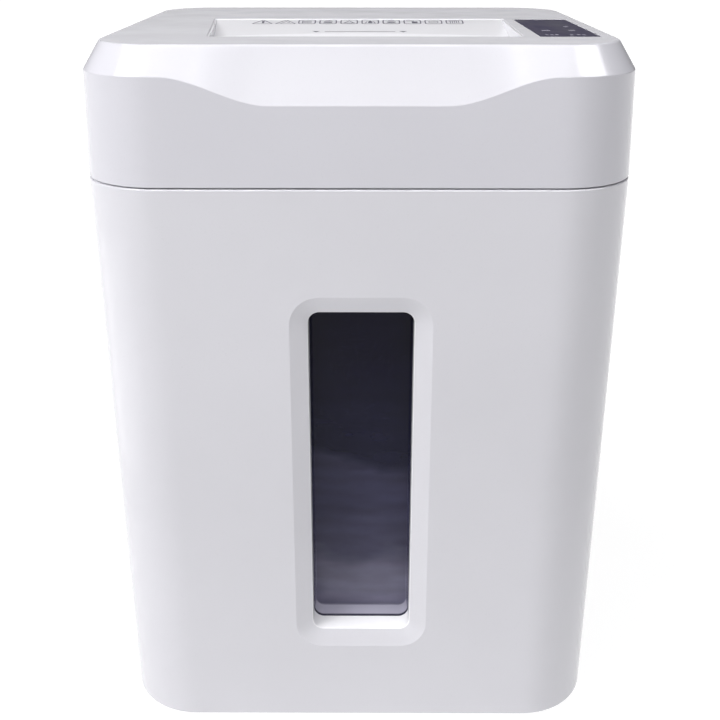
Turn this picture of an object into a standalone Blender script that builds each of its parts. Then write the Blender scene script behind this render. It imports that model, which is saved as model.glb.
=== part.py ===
"""Paper shredder: a tapered bin with a recessed window, and a cutting head that lifts off it.

Metres, +Z up, +X to the right and -Y to the front. The origin is on the floor under the middle of the footprint.
"""

import math

import bmesh
import bpy
from mathutils import Matrix, Vector

# Outer form
WIDTH = 0.377
DEPTH = 0.346
TOP = 0.5304
SHOULDER = 0.5112
SEAM = 0.4380
SEAM_GAP = 0.0008
FOOT_HEIGHT = 0.004
CORNER = 0.055
CHAMFER = 0.012
HEAD_DRAFT = math.radians(1.1)
SIDE_DRAFT = math.radians(0.60)
FRONT_DRAFT = math.radians(0.80)
WALL = 0.003
FIT = 0.0003

# Dip of the shoulder line across the front
DIP = 0.0185
DIP_OUTER = 0.130
DIP_INNER = 0.058
DIP_STEPS = 6

# Bin rim and floor
RIM_WIDTH = 0.0075
RIM_DEPTH = 0.018
LIP_DEPTH = 0.0088
RIM_EDGE = 0.0012
FLOOR = 0.0045
BASE_EDGE = 0.002

# Window, measured along the sloping front wall
WINDOW_LOW = 0.0833
WINDOW_HIGH = 0.3488
WINDOW_WIDTH = 0.0745
WINDOW_CORNER = 0.008
BEVEL = 0.0128
BEVEL_DEPTH = 0.0036
WELL_DEPTH = 0.0203
WELL_WALL = 0.003
PANE = 0.002
PANE_FLANGE = 0.0075
PANE_DISH = 0.013
PANE_SLOPE = 0.0015

# Feed opening in the top, and the ramp that leads to the slot along its front edge
FEED_FRONT = -0.109
FEED_BACK = 0.035
FEED_FRONT_LEFT = -0.105
FEED_FRONT_RIGHT = 0.114
FEED_BACK_LEFT = -0.1195
FEED_BACK_RIGHT = 0.1175
THROAT_WALL = 0.0018
RAMP_HIGH = TOP - 0.0012
RAMP_BEND_Y = -0.019
RAMP_BEND = TOP - 0.0074
RAMP_LOW = TOP - 0.0245
SLOT_FRONT = FEED_FRONT + 0.0028
SLOT_BACK = FEED_FRONT + 0.0130
NECK_FRONT = FEED_FRONT + 0.0044
NECK_BACK = FEED_FRONT + 0.0110
THROAT_LOW = 0.500

# Touch panel
PANEL_LEFT = 0.1256
PANEL_RIGHT = 0.1672
PANEL_FRONT = -0.1103
PANEL_BACK = 0.0290
PANEL_DEPTH = 0.0016

# Cutting rollers
AXIS_Z = 0.478
ROLLER_PITCH = 0.033
NIP_Y = (NECK_FRONT + NECK_BACK) / 2
FRONT_Y = NIP_Y - ROLLER_PITCH / 2
REAR_Y = NIP_Y + ROLLER_PITCH / 2
DISC_COUNT = 28
DISC_PITCH = 0.008
DISC_WIDTH = 0.0036
DISC_RADIUS = 0.018
SPACER_RADIUS = 0.012
SHAFT_RADIUS = 0.008
JOURNAL_RADIUS = 0.006
PLATE_X = 0.1155
PLATE = 0.0025
PLATE_LOW = 0.4436
PLATE_HIGH = 0.512

# Gear train on the right: module, teeth, and the span along X of each layer
SYNC = (0.0015, 22)
DRIVE = (0.00175, 30)
SECOND_SMALL = (0.00175, 15)
SECOND_LARGE = (0.0015, 34)
FIRST_SMALL = (0.0015, 14)
FIRST_LARGE = (0.00125, 40)
PINION = (0.00125, 12)
LAYER_ONE = (0.1210, 0.1300)
LAYER_TWO = (0.1310, 0.1380)
LAYER_THREE = (0.1390, 0.1450)
SYNC_LAYER = (-0.1300, -0.1210)
SECOND_RISE = 0.004
MOTOR_Y = NIP_Y + 0.1233
BACKLASH = 0.10
PIN_RADIUS = 0.004

# Motor
MOTOR_RADIUS = 0.027
MOTOR_LEFT = 0.012
MOTOR_RIGHT = 0.1120

# Back and sides of the head
VENT_COUNT = 9
VENT_PITCH = 0.009
VENT_WIDTH = 0.0032
VENT_LOW = 0.462
VENT_HIGH = 0.494
SWITCH_X = 0.110
SWITCH_Z = 0.474
SWITCH_HALF_X = 0.0127
SWITCH_HALF_Z = 0.0092
ROCKER_THROW = 16.0
GLAND_X = -0.110
GLAND_Z = 0.460
GLAND_RADIUS = 0.008
GLAND_BORE = 0.0036
GRIP_HALF = 0.045
GRIP_LOW = 0.4500
GRIP_HIGH = 0.4680
GRIP_DEEP = 0.012

# Head base
HEAD_LOW = SEAM + SEAM_GAP
BASE_TOP = 0.443
DISCHARGE_HALF = 0.1135
DISCHARGE_FRONT = NIP_Y - 0.0377
DISCHARGE_BACK = NIP_Y + 0.0383
POST_X = 0.168
POST_Y = 0.117
POST_HIGH = 0.462
SCREW_RADIUS = 0.0018

DARK = (0.03, 0.03, 0.035)
WHITE = (0.70, 0.69, 0.74)


def clear_scene():
    for obj in list(bpy.data.objects):
        bpy.data.objects.remove(obj)


def material(name, color, roughness, metallic=0.0, alpha=1.0):
    made = bpy.data.materials.get(name)
    if made:
        return made
    made = bpy.data.materials.new(name)
    made.use_nodes = True
    shader = made.node_tree.nodes["Principled BSDF"]
    shader.inputs["Base Color"].default_value = (*color, 1.0)
    shader.inputs["Roughness"].default_value = roughness
    shader.inputs["Metallic"].default_value = metallic
    shader.inputs["Alpha"].default_value = alpha
    return made


def white_plastic():
    return material("white_plastic", WHITE, 0.25)


def grey_plastic():
    return material("grey_plastic", (0.25, 0.25, 0.27), 0.5)


def black_plastic():
    return material("black_plastic", DARK, 0.45)


def steel():
    return material("steel", (0.55, 0.55, 0.56), 0.35, 1.0)


def zinc():
    return material("zinc", (0.62, 0.62, 0.60), 0.45, 1.0)


def circuit():
    return material("circuit", (0.02, 0.16, 0.07), 0.5)


def mesh_object(name, points, faces, look):
    """An object from points in metres, its faces turned to point out and its round stretches smooth."""
    mesh = bpy.data.meshes.new(name)
    mesh.from_pydata([tuple(p) for p in points], [], faces)
    shape = bmesh.new()
    shape.from_mesh(mesh)
    bmesh.ops.recalc_face_normals(shape, faces=shape.faces)
    shape.to_mesh(mesh)
    shape.free()
    mesh.materials.append(look)
    mesh.shade_smooth()
    mesh.set_sharp_from_angle(angle=math.radians(32))
    obj = bpy.data.objects.new(name, mesh)
    bpy.context.scene.collection.objects.link(obj)
    return obj


def loft(name, rings, look, closed=False):
    """A closed skin through rings of equal count: capped at both ends, or joined end to end when closed."""
    count = len(rings[0])
    points = [p for ring in rings for p in ring]
    faces = []
    spans = len(rings) if closed else len(rings) - 1
    for i in range(spans):
        low = i * count
        high = ((i + 1) % len(rings)) * count
        for j in range(count):
            k = (j + 1) % count
            faces.append((low + j, low + k, high + k, high + j))
    if not closed:
        faces.append(tuple(reversed(range(count))))
        faces.append(tuple(range((len(rings) - 1) * count, len(rings) * count)))
    return mesh_object(name, points, faces, look)


def box(name, low, high, look):
    x0, y0, z0 = low
    x1, y1, z1 = high
    rings = [[(x0, y0, z), (x1, y0, z), (x1, y1, z), (x0, y1, z)] for z in (z0, z1)]
    return loft(name, rings, look)


def circle(sides, radius, turn=0.0):
    step = 2 * math.pi / sides
    return [(radius * math.cos(i * step + turn), radius * math.sin(i * step + turn)) for i in range(sides)]


def turned(name, profile, centre, look, sides=16, axis="X", closed=False):
    """A turned piece from (place along the axis, radius) pairs, about a line through centre."""
    rings = []
    for along, radius in profile:
        ring = []
        for a, b in circle(sides, radius, math.pi / sides):
            offset = {"X": (along, a, b), "Y": (a, along, b), "Z": (a, b, along)}[axis]
            ring.append(Vector(centre) + Vector(offset))
        rings.append(ring)
    return loft(name, rings, look, closed)


def prism_x(name, outline, x0, x1, look):
    """An outline of (y, z) points pushed from x0 to x1."""
    return loft(name, [[(x, y, z) for y, z in outline] for x in (x0, x1)], look)


def prism_z(name, outline, z0, z1, look):
    return loft(name, [[(x, y, z) for x, y in outline] for z in (z0, z1)], look)


def combine(target, tool, operation):
    """Joins tool to target, or cuts it away, and keeps only the result."""
    modifier = target.modifiers.new(operation.lower(), "BOOLEAN")
    modifier.operation = operation
    modifier.object = tool
    bpy.context.view_layer.update()
    graph = bpy.context.evaluated_depsgraph_get()
    result = bpy.data.meshes.new_from_object(target.evaluated_get(graph))
    target.modifiers.clear()
    target.data = result
    result.name = target.name
    bpy.data.objects.remove(tool)
    return target


def cut(target, tool):
    return combine(target, tool, "DIFFERENCE")


def join(target, tool):
    return combine(target, tool, "UNION")


def set_origin(obj, point):
    """Moves the object's origin to point and leaves its shape where it is."""
    obj.data.transform(Matrix.Translation(-Vector(point)))
    obj.location = point
    return obj


# ---- Outlines of the case ----


def dip_places():
    """Places along the front edge: the ends of the dip, and steps down each of its slopes."""
    span = DIP_OUTER - DIP_INNER
    right = [DIP_INNER + span * i / DIP_STEPS for i in range(DIP_STEPS + 1)]
    return [-x for x in reversed(right)] + [0.0] + right


def shoulder_height(x):
    """Height of the line where the chamfer meets the front: level at the sides, lower in the middle."""
    t = min(max((DIP_OUTER - abs(x)) / (DIP_OUTER - DIP_INNER), 0.0), 1.0)
    return SHOULDER - DIP * t * t * (3 - 2 * t)


def rounded(half_x, half_y, radius, steps=6, front=()):
    """A rounded rectangle, anticlockwise from the left end of its front edge."""
    points = []
    corners = (
        (half_x - radius, -half_y + radius, -90),
        (half_x - radius, half_y - radius, 0),
        (-half_x + radius, half_y - radius, 90),
        (-half_x + radius, -half_y + radius, 180),
    )
    for x in front:
        points.append((x, -half_y))
    for cx, cy, start in corners:
        for i in range(steps + 1):
            angle = math.radians(start + 90 * i / steps)
            points.append((cx + radius * math.cos(angle), cy + radius * math.sin(angle)))
    return points


def case_ring(half_x, half_y, inset, z, radius=CORNER):
    outline = rounded(half_x - inset, half_y - inset, max(radius - inset, 0.004), front=dip_places())
    return [(x, y, z) for x, y in outline]


def head_half(z):
    """Half width and half depth of the head's skirt at a height."""
    flare = (SHOULDER - z) * math.tan(HEAD_DRAFT)
    return WIDTH / 2 + flare, DEPTH / 2 + flare


def bin_half(z):
    half_x, half_y = head_half(HEAD_LOW)
    drop = SEAM - z
    return half_x - drop * math.tan(SIDE_DRAFT), half_y - drop * math.tan(FRONT_DRAFT)


def shoulder_ring(inset, drop):
    """The ring where the skirt ends, which follows the dip across the front."""
    ring = case_ring(WIDTH / 2, DEPTH / 2, inset, SHOULDER - drop)
    for i, x in enumerate(dip_places()):
        z = shoulder_height(x) - drop
        ring[i] = (x, -head_half(z)[1] + inset, z)
    return ring


# ---- Bin ----


def window_point(across, up, inward):
    """A point on the front wall: across from the middle, at a height up it, and inward from its face."""
    height = up + inward * math.tan(FRONT_DRAFT)
    return (across, -bin_half(up)[1] + inward, height)


def window_ring(grow, inward, radius=WINDOW_CORNER):
    half = WINDOW_WIDTH / 2 + grow
    middle = (WINDOW_LOW + WINDOW_HIGH) / 2
    tall = (WINDOW_HIGH - WINDOW_LOW) / 2 + grow
    outline = rounded(half, tall, max(radius + grow, 0.002), steps=4)
    return [window_point(x, middle + z, inward) for x, z in outline]


def make_bin_shell():
    low = FOOT_HEIGHT
    heights = (low + BASE_EDGE, SEAM - RIM_EDGE)
    rings = [case_ring(*bin_half(low), BASE_EDGE, low)]
    rings += [case_ring(*bin_half(z), 0, z) for z in heights]
    rings.append(case_ring(*bin_half(SEAM), RIM_EDGE, SEAM))
    rings.append(case_ring(*bin_half(SEAM), RIM_WIDTH, SEAM))
    rings.append(case_ring(*bin_half(SEAM), RIM_WIDTH, SEAM - RIM_DEPTH))
    rings.append(case_ring(*bin_half(SEAM), WALL, SEAM - 1.7 * RIM_DEPTH))
    rings.append(case_ring(*bin_half(low), WALL + BASE_EDGE / 2, low + FLOOR))
    shell = loft("bin_shell", rings, white_plastic())
    grown = WELL_WALL
    well = loft("well", [window_ring(grown, WALL / 2), window_ring(grown, WELL_DEPTH)], white_plastic())
    join(shell, well)
    hole = loft("hole", [window_ring(0, -0.002), window_ring(0, WELL_DEPTH + 0.002)], white_plastic())
    cut(shell, hole)
    slope = BEVEL / BEVEL_DEPTH
    over = 0.0004
    rings = [window_ring(BEVEL + slope * over, -over), window_ring(-over * slope, BEVEL_DEPTH + over)]
    return cut(shell, loft("bevel", rings, white_plastic()))


def make_window_pane():
    back = WELL_DEPTH + FIT
    dish = back + PANE_DISH
    rings = [
        window_ring(-PANE_SLOPE + PANE / 2, dish + PANE),
        window_ring(PANE / 2, back + PANE),
        window_ring(PANE_FLANGE, back + PANE),
        window_ring(PANE_FLANGE, back),
        window_ring(-PANE / 2, back),
        window_ring(-PANE_SLOPE - PANE / 2, dish),
    ]
    look = material("smoked_window", (0.02, 0.02, 0.03), 0.08, alpha=0.6)
    return loft("window_pane", rings, look)


def make_feet():
    look = material("rubber", (0.04, 0.04, 0.04), 0.8)
    top = FOOT_HEIGHT - FIT
    for row, y in (("front", -0.110), ("rear", 0.110)):
        for side, x in (("left", -0.135), ("right", 0.135)):
            profile = [(0, 0.0105), (0.001, 0.012), (top, 0.012)]
            turned(f"foot_{row}_{side}", profile, (x, y, 0), look, sides=16, axis="Z")


def make_bin_magnet():
    """A magnet on the rim's inner side, which tells the head that the bin is under it."""
    x1 = bin_half(SEAM)[0] - RIM_WIDTH - FIT
    top = SEAM - LIP_DEPTH - 0.0012
    inner = x1 - 0.0035
    box("bin_magnet", (inner, 0.06, top - 0.006), (x1, 0.078, top), steel())


# ---- Head: case ----


def feed_outline(inset):
    return [
        (FEED_FRONT_LEFT + inset, FEED_FRONT + inset),
        (FEED_FRONT_RIGHT - inset, FEED_FRONT + inset),
        (FEED_BACK_RIGHT - inset, FEED_BACK - inset),
        (FEED_BACK_LEFT + inset, FEED_BACK - inset),
    ]


def make_head_cover():
    rings = [case_ring(WIDTH / 2 - CHAMFER, DEPTH / 2 - CHAMFER, WALL, TOP - WALL, CORNER - CHAMFER)]
    rings.append(shoulder_ring(WALL, 0.001))
    rings.append(case_ring(*head_half(HEAD_LOW), WALL, HEAD_LOW))
    rings.append(case_ring(*head_half(HEAD_LOW), 0, HEAD_LOW))
    rings.append(shoulder_ring(0, 0))
    rings.append(case_ring(WIDTH / 2 - CHAMFER, DEPTH / 2 - CHAMFER, 0, TOP, CORNER - CHAMFER))
    cover = loft("head_cover", rings, white_plastic())
    for sx in (-1, 1):
        add_finger_grip(cover, sx)
        for sy in (-1, 1):
            add_screw_post(cover, sx, sy)
    cut(cover, prism_z("feed", feed_outline(0), TOP - 0.02, TOP + 0.01, white_plastic()))
    low = (PANEL_LEFT - FIT, PANEL_FRONT - FIT, TOP - PANEL_DEPTH - FIT)
    high = (PANEL_RIGHT + FIT, PANEL_BACK + FIT, TOP + 0.01)
    cut(cover, box("pocket", low, high, white_plastic()))
    back = DEPTH / 2
    for i in range(VENT_COUNT):
        x = (i - (VENT_COUNT - 1) / 2) * VENT_PITCH
        low = (x - VENT_WIDTH / 2, back - 0.01, VENT_LOW)
        high = (x + VENT_WIDTH / 2, back + 0.01, VENT_HIGH)
        cut(cover, box("vent", low, high, white_plastic()))
    low = (SWITCH_X - SWITCH_HALF_X - FIT, back - 0.01, SWITCH_Z - SWITCH_HALF_Z - FIT)
    high = (SWITCH_X + SWITCH_HALF_X + FIT, back + 0.01, SWITCH_Z + SWITCH_HALF_Z + FIT)
    cut(cover, box("switch_hole", low, high, white_plastic()))
    profile = [(-0.01, GLAND_RADIUS + FIT), (0.01, GLAND_RADIUS + FIT)]
    return cut(cover, turned("gland_hole", profile, (GLAND_X, back, GLAND_Z), white_plastic(), axis="Y"))


def add_finger_grip(cover, side):
    """A recess in the side of the head, with its own back and walls."""
    outer = head_half(GRIP_LOW)[0]
    near = side * (outer - WALL / 2)
    far = side * (outer - GRIP_DEEP - WALL)
    low = (min(near, far), -GRIP_HALF - WALL, GRIP_LOW - WALL)
    high = (max(near, far), GRIP_HALF + WALL, GRIP_HIGH + WALL)
    join(cover, box("grip_block", low, high, white_plastic()))
    near = side * (outer + 0.01)
    far = side * (outer - GRIP_DEEP)
    low = (min(near, far), -GRIP_HALF, GRIP_LOW)
    high = (max(near, far), GRIP_HALF, GRIP_HIGH)
    cut(cover, box("grip_cut", low, high, white_plastic()))


def add_screw_post(cover, sx, sy):
    """A block on the side wall with a blind hole for a base screw."""
    outer = head_half(BASE_TOP)[0] - WALL / 2
    xs = sorted((sx * (POST_X - 0.006), sx * outer))
    ys = sorted((sy * (POST_Y - 0.006), sy * (POST_Y + 0.006)))
    low = (xs[0], ys[0], BASE_TOP + FIT)
    high = (xs[1], ys[1], POST_HIGH)
    join(cover, box("post", low, high, white_plastic()))
    profile = [(BASE_TOP, SCREW_RADIUS + FIT), (POST_HIGH - 0.004, SCREW_RADIUS + FIT)]
    hole = turned("post_hole", profile, (sx * POST_X, sy * POST_Y, 0), white_plastic(), sides=8, axis="Z")
    cut(cover, hole)


def make_head_base():
    half_x, half_y = head_half(HEAD_LOW)
    lip = RIM_WIDTH + 0.0008
    flat = SEAM + FIT
    rings = [
        case_ring(half_x, half_y, WALL + FIT, BASE_TOP),
        case_ring(half_x, half_y, WALL + FIT, flat),
        case_ring(half_x, half_y, lip, flat),
        case_ring(half_x, half_y, lip, SEAM - LIP_DEPTH),
        case_ring(half_x, half_y, lip + 0.0025, SEAM - LIP_DEPTH),
        case_ring(half_x, half_y, lip + 0.0025, BASE_TOP - WALL),
    ]
    base = loft("head_base", rings, grey_plastic())
    low = (-DISCHARGE_HALF, DISCHARGE_FRONT, BASE_TOP - 0.01)
    high = (DISCHARGE_HALF, DISCHARGE_BACK, BASE_TOP + 0.01)
    cut(base, box("discharge", low, high, grey_plastic()))
    for sx in (-1, 1):
        for sy in (-1, 1):
            profile = [(BASE_TOP - 0.01, SCREW_RADIUS + FIT), (BASE_TOP + 0.01, SCREW_RADIUS + FIT)]
            centre = (sx * POST_X, sy * POST_Y, 0)
            cut(base, turned("base_hole", profile, centre, grey_plastic(), sides=8, axis="Z"))
            make_base_screw(sx, sy)
    return base


def make_base_screw(sx, sy):
    name = f"base_screw_{'front' if sy < 0 else 'rear'}_{'left' if sx < 0 else 'right'}"
    under = BASE_TOP - WALL - FIT
    profile = [
        (under - 0.0022, 0.0028),
        (under - 0.0008, 0.004),
        (under, 0.004),
        (under, SCREW_RADIUS),
        (POST_HIGH - 0.006, SCREW_RADIUS),
    ]
    turned(name, profile, (sx * POST_X, sy * POST_Y, 0), zinc(), sides=8, axis="Z")


def make_feed_throat():
    """The ramp, its side walls and the slot, as one moulding that drops into the cover's opening."""
    look = material("feed_plastic", (0.76, 0.76, 0.79), 0.3)
    edge = TOP - 0.0004
    front = FEED_FRONT + FIT
    back = FEED_BACK - FIT
    thick = 0.0023
    outer = [
        (front, THROAT_LOW + 0.012),
        (NECK_FRONT - thick, THROAT_LOW),
        (NECK_BACK + thick, THROAT_LOW),
        (SLOT_BACK + thick, RAMP_LOW - thick),
        (RAMP_BEND_Y, RAMP_BEND - thick),
        (back, RAMP_HIGH - thick),
        (back, edge),
        (front, edge),
    ]
    throat = prism_x("feed_throat", outer, -0.13, 0.13, look)
    combine(throat, prism_z("sides", feed_outline(FIT), THROAT_LOW - 0.01, TOP + 0.01, look), "INTERSECT")
    inner = [
        (NECK_FRONT, THROAT_LOW - 0.001),
        (NECK_BACK, THROAT_LOW - 0.001),
        (SLOT_BACK, RAMP_LOW),
        (RAMP_BEND_Y, RAMP_BEND),
        (back - THROAT_WALL, RAMP_HIGH),
        (back - THROAT_WALL, TOP + 0.005),
        (SLOT_FRONT, TOP + 0.005),
        (SLOT_FRONT, RAMP_LOW),
    ]
    hollow = prism_x("hollow", inner, -0.13, 0.13, look)
    sides = prism_z("sides", feed_outline(FIT + THROAT_WALL), THROAT_LOW - 0.01, TOP + 0.01, look)
    combine(hollow, sides, "INTERSECT")
    return cut(throat, hollow)


def make_touch_panel():
    look = material("dark_glass", (0.06, 0.055, 0.09), 0.08)
    low = (PANEL_LEFT, PANEL_FRONT, TOP - PANEL_DEPTH)
    box("touch_panel", low, (PANEL_RIGHT, PANEL_BACK, TOP), look)
    low = (PANEL_LEFT + 0.002, PANEL_FRONT + 0.004, TOP - 0.0095)
    box("control_board", low, (PANEL_RIGHT - 0.002, PANEL_BACK - 0.004, TOP - 0.0079), circuit())


# ---- Head: cutting rollers and their frame ----


def make_side_plates():
    step = THROAT_LOW - 0.0005
    outline = [
        (NIP_Y - 0.0417, PLATE_LOW),
        (NIP_Y + 0.1573, PLATE_LOW),
        (NIP_Y + 0.1573, step),
        (NIP_Y + 0.1453, PLATE_HIGH),
        (NIP_Y + 0.0353, PLATE_HIGH),
        (NIP_Y + 0.0273, step),
        (NIP_Y - 0.0287, step),
        (NIP_Y - 0.0417, 0.488),
    ]
    for name, side in (("side_plate_left", -1), ("side_plate_right", 1)):
        x0, x1 = sorted((side * PLATE_X, side * (PLATE_X + PLATE)))
        plate = prism_x(name, outline, x0, x1, steel())
        for y in (FRONT_Y, REAR_Y):
            profile = [(x0 - 0.002, 0.0096), (x1 + 0.002, 0.0096)]
            cut(plate, turned("bush_hole", profile, (0, y, AXIS_Z), steel(), sides=12))
        if side > 0:
            profile = [(x0 - 0.002, 0.006), (x1 + 0.002, 0.006)]
            cut(plate, turned("motor_hole", profile, (0, MOTOR_Y, AXIS_Z), steel(), sides=12))
        for row, y in (("front", FRONT_Y), ("rear", REAR_Y)):
            inner = side * (PLATE_X - FIT)
            outer = side * (PLATE_X + PLATE + 0.001)
            profile = [
                (inner - side * 0.0012, 0.0064),
                (inner - side * 0.0012, 0.011),
                (inner, 0.011),
                (inner, 0.009),
                (outer, 0.009),
                (outer, 0.0064),
            ]
            look = material("bronze", (0.45, 0.28, 0.12), 0.4, 1.0)
            label = "left" if side < 0 else "right"
            turned(f"bush_{row}_{label}", profile, (0, y, AXIS_Z), look, sides=12, closed=True)


def make_tie_rods():
    end = PLATE_X - FIT
    for name, ahead, z in (("front", -0.0247, 0.4535), ("middle", 0.0453, 0.4535), ("rear", 0.0833, 0.503)):
        turned(f"tie_rod_{name}", [(-end, 0.003), (end, 0.003)], (0, NIP_Y + ahead, z), zinc(), sides=8)


def disc_places(row):
    """Middle of each disc along X; the rear row's sit in the gaps of the front row's."""
    shift = -DISC_PITCH / 4 if row == "front" else DISC_PITCH / 4
    return [(i - (DISC_COUNT - 1) / 2) * DISC_PITCH + shift for i in range(DISC_COUNT)]


def make_roller(row, y):
    end = PLATE_X - 0.0025
    profile = []
    for middle in disc_places(row):
        profile.append((middle - DISC_WIDTH / 2, SPACER_RADIUS))
        profile.append((middle - DISC_WIDTH / 2, DISC_RADIUS))
        profile.append((middle + DISC_WIDTH / 2, DISC_RADIUS))
        profile.append((middle + DISC_WIDTH / 2, SPACER_RADIUS))
    pack = 0.1125
    bore = SHAFT_RADIUS + FIT
    profile = [(-pack, bore), (-pack, SPACER_RADIUS), *profile, (pack, SPACER_RADIUS), (pack, bore)]
    discs = turned(f"{row}_cutters", profile, (0, y, AXIS_Z), steel(), sides=8, closed=True)
    left = SYNC_LAYER[0] - 0.003
    right = LAYER_ONE[1] + 0.0006 if row == "rear" else PLATE_X + PLATE + 0.002
    profile = [(left, JOURNAL_RADIUS), (-end, JOURNAL_RADIUS), (-end, SHAFT_RADIUS)]
    profile += [(end, SHAFT_RADIUS), (end, JOURNAL_RADIUS), (right, JOURNAL_RADIUS)]
    shaft = turned(f"{row}_shaft", profile, (0, y, AXIS_Z), zinc(), sides=8)
    set_origin(discs, (0, y, AXIS_Z))
    set_origin(shaft, (0, y, AXIS_Z))


def make_combs():
    """Flat fingers that reach between the discs from outside, and keep the shreds from winding on."""
    finger = 0.0016
    for row, y, side in (("front", FRONT_Y, -1), ("rear", REAR_Y, 1)):
        places = disc_places(row)
        gaps = [(a + b) / 2 for a, b in zip(places, places[1:])]
        tip = y + side * (SPACER_RADIUS + 0.001)
        root = y + side * (DISC_RADIUS + 0.001)
        outer = y + side * (DISC_RADIUS + 0.0055)
        outline = [(-0.114, root)]
        for x in gaps:
            outline += [(x - finger, root), (x - finger, tip), (x + finger, tip), (x + finger, root)]
        outline += [(0.114, root), (0.114, outer), (-0.114, outer)]
        prism_z(f"{row}_comb", outline, 0.473, 0.483, zinc())


# ---- Head: gear train ----


def involute(radius, base):
    if radius <= base:
        return 0.0
    turn = math.acos(base / radius)
    return math.tan(turn) - turn


def gear_outline(size, phase):
    """(y, z) points of a spur gear with straight-sided teeth that stay inside the involute."""
    module, teeth = size
    pitch = module * teeth / 2
    base = pitch * math.cos(math.radians(20))
    tip = pitch + 0.9 * module
    root = pitch - 1.2 * module
    half = math.pi / 2 / teeth * (1 - BACKLASH)
    at_pitch = involute(pitch, base)
    low = half + at_pitch - involute(root, base)
    high = half + at_pitch - involute(tip, base)
    low = min(low, math.pi / teeth * 0.9)
    points = []
    for i in range(teeth):
        middle = phase + 2 * math.pi * i / teeth
        for radius, angle in ((root, -low), (tip, -high), (tip, high), (root, low)):
            points.append((radius * math.cos(middle + angle), radius * math.sin(middle + angle)))
    return points


def mesh_phase(followed, phase, centre, follower, other):
    """Where the follower's teeth stand, so that they fall in the followed gear's gaps."""
    line = math.atan2(other[1] - centre[1], other[0] - centre[0])
    return line + math.pi + (line - phase) * followed[1] / follower[1] + math.pi / follower[1]


def gear_blank(name, size, phase, centre, layer, look):
    outline = [(y + centre[0], z + centre[1]) for y, z in gear_outline(size, phase)]
    return prism_x(name, outline, layer[0], layer[1], look)


def bore_gear(gear, centre, radius):
    profile = [(-0.2, radius), (0.2, radius)]
    cut(gear, turned("bore", profile, (0, centre[0], centre[1]), steel(), sides=8))
    return set_origin(gear, (0, centre[0], centre[1]))


def gear_places():
    """Centres (y, z) of the second and first compound gears, between the rear roller and the motor."""
    drive = Vector((REAR_Y, AXIS_Z))
    motor = Vector((MOTOR_Y, AXIS_Z))
    reach = (DRIVE[0] * DRIVE[1] + SECOND_SMALL[0] * SECOND_SMALL[1]) / 2
    second = drive + Vector((math.sqrt(reach**2 - SECOND_RISE**2), SECOND_RISE))
    near = (SECOND_LARGE[0] * SECOND_LARGE[1] + FIRST_SMALL[0] * FIRST_SMALL[1]) / 2
    far = (FIRST_LARGE[0] * FIRST_LARGE[1] + PINION[0] * PINION[1]) / 2
    span = (motor - second).length
    along = (near**2 + span**2 - far**2) / (2 * span)
    across = math.sqrt(max(near**2 - along**2, 0.0))
    ahead = (motor - second).normalized()
    first = second + ahead * along + Vector((ahead.y, -ahead.x)) * across
    return second, first


def make_gears():
    steel_gear = material("gear_steel", (0.42, 0.42, 0.44), 0.4, 1.0)
    nylon = material("nylon", (0.75, 0.73, 0.66), 0.45)
    drive = (REAR_Y, AXIS_Z)
    second, first = gear_places()
    motor = (MOTOR_Y, AXIS_Z)
    journal = JOURNAL_RADIUS + FIT
    pin = PIN_RADIUS + 0.0006
    bore_gear(gear_blank("drive_gear", DRIVE, 0.0, drive, LAYER_ONE, steel_gear), drive, journal)
    phase = mesh_phase(DRIVE, 0.0, drive, SECOND_SMALL, second)
    gear = gear_blank("gear_second", SECOND_SMALL, phase, second, (LAYER_ONE[0], LAYER_TWO[0] + 0.001), steel_gear)
    join(gear, gear_blank("large", SECOND_LARGE, phase, second, LAYER_TWO, steel_gear))
    bore_gear(gear, second, pin)
    phase = mesh_phase(SECOND_LARGE, phase, second, FIRST_SMALL, first)
    gear = gear_blank("gear_first", FIRST_SMALL, phase, first, (LAYER_TWO[0], LAYER_THREE[0] + 0.001), nylon)
    join(gear, gear_blank("large", FIRST_LARGE, phase, first, LAYER_THREE, nylon))
    bore_gear(gear, first, pin)
    phase = mesh_phase(FIRST_LARGE, phase, first, PINION, motor)
    pinion = gear_blank("motor_pinion", PINION, phase, motor, (LAYER_THREE[0], LAYER_THREE[1] + 0.0015), steel_gear)
    bore_gear(pinion, motor, 0.003 + FIT)
    front = (FRONT_Y, AXIS_Z)
    bore_gear(gear_blank("rear_sync_gear", SYNC, 0.0, drive, SYNC_LAYER, steel_gear), drive, journal)
    phase = mesh_phase(SYNC, 0.0, drive, SYNC, front)
    bore_gear(gear_blank("front_sync_gear", SYNC, phase, front, SYNC_LAYER, steel_gear), front, journal)
    outer = LAYER_THREE[1] + 0.0015
    for name, place in (("gear_pin_second", second), ("gear_pin_first", first)):
        profile = [(PLATE_X + PLATE + FIT, PIN_RADIUS), (outer, PIN_RADIUS)]
        turned(name, profile, (0, *place), zinc(), sides=12)


def make_gear_cover():
    """An open box over the gear train, its mouth against the right side plate."""
    near = PLATE_X + PLATE + FIT
    far = LAYER_THREE[1] + 0.006
    front = NIP_Y - 0.0307
    back = NIP_Y + 0.1533
    low = PLATE_LOW + 0.002
    high = PLATE_HIGH + 0.0035
    cover = box("gear_cover", (near, front, low), (far, back, high), black_plastic())
    inner = (near - 0.001, front + 0.002, low + 0.002)
    return cut(cover, box("inside", inner, (far - 0.002, back - 0.002, high - 0.002), black_plastic()))


# ---- Head: motor and electrics ----


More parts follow.
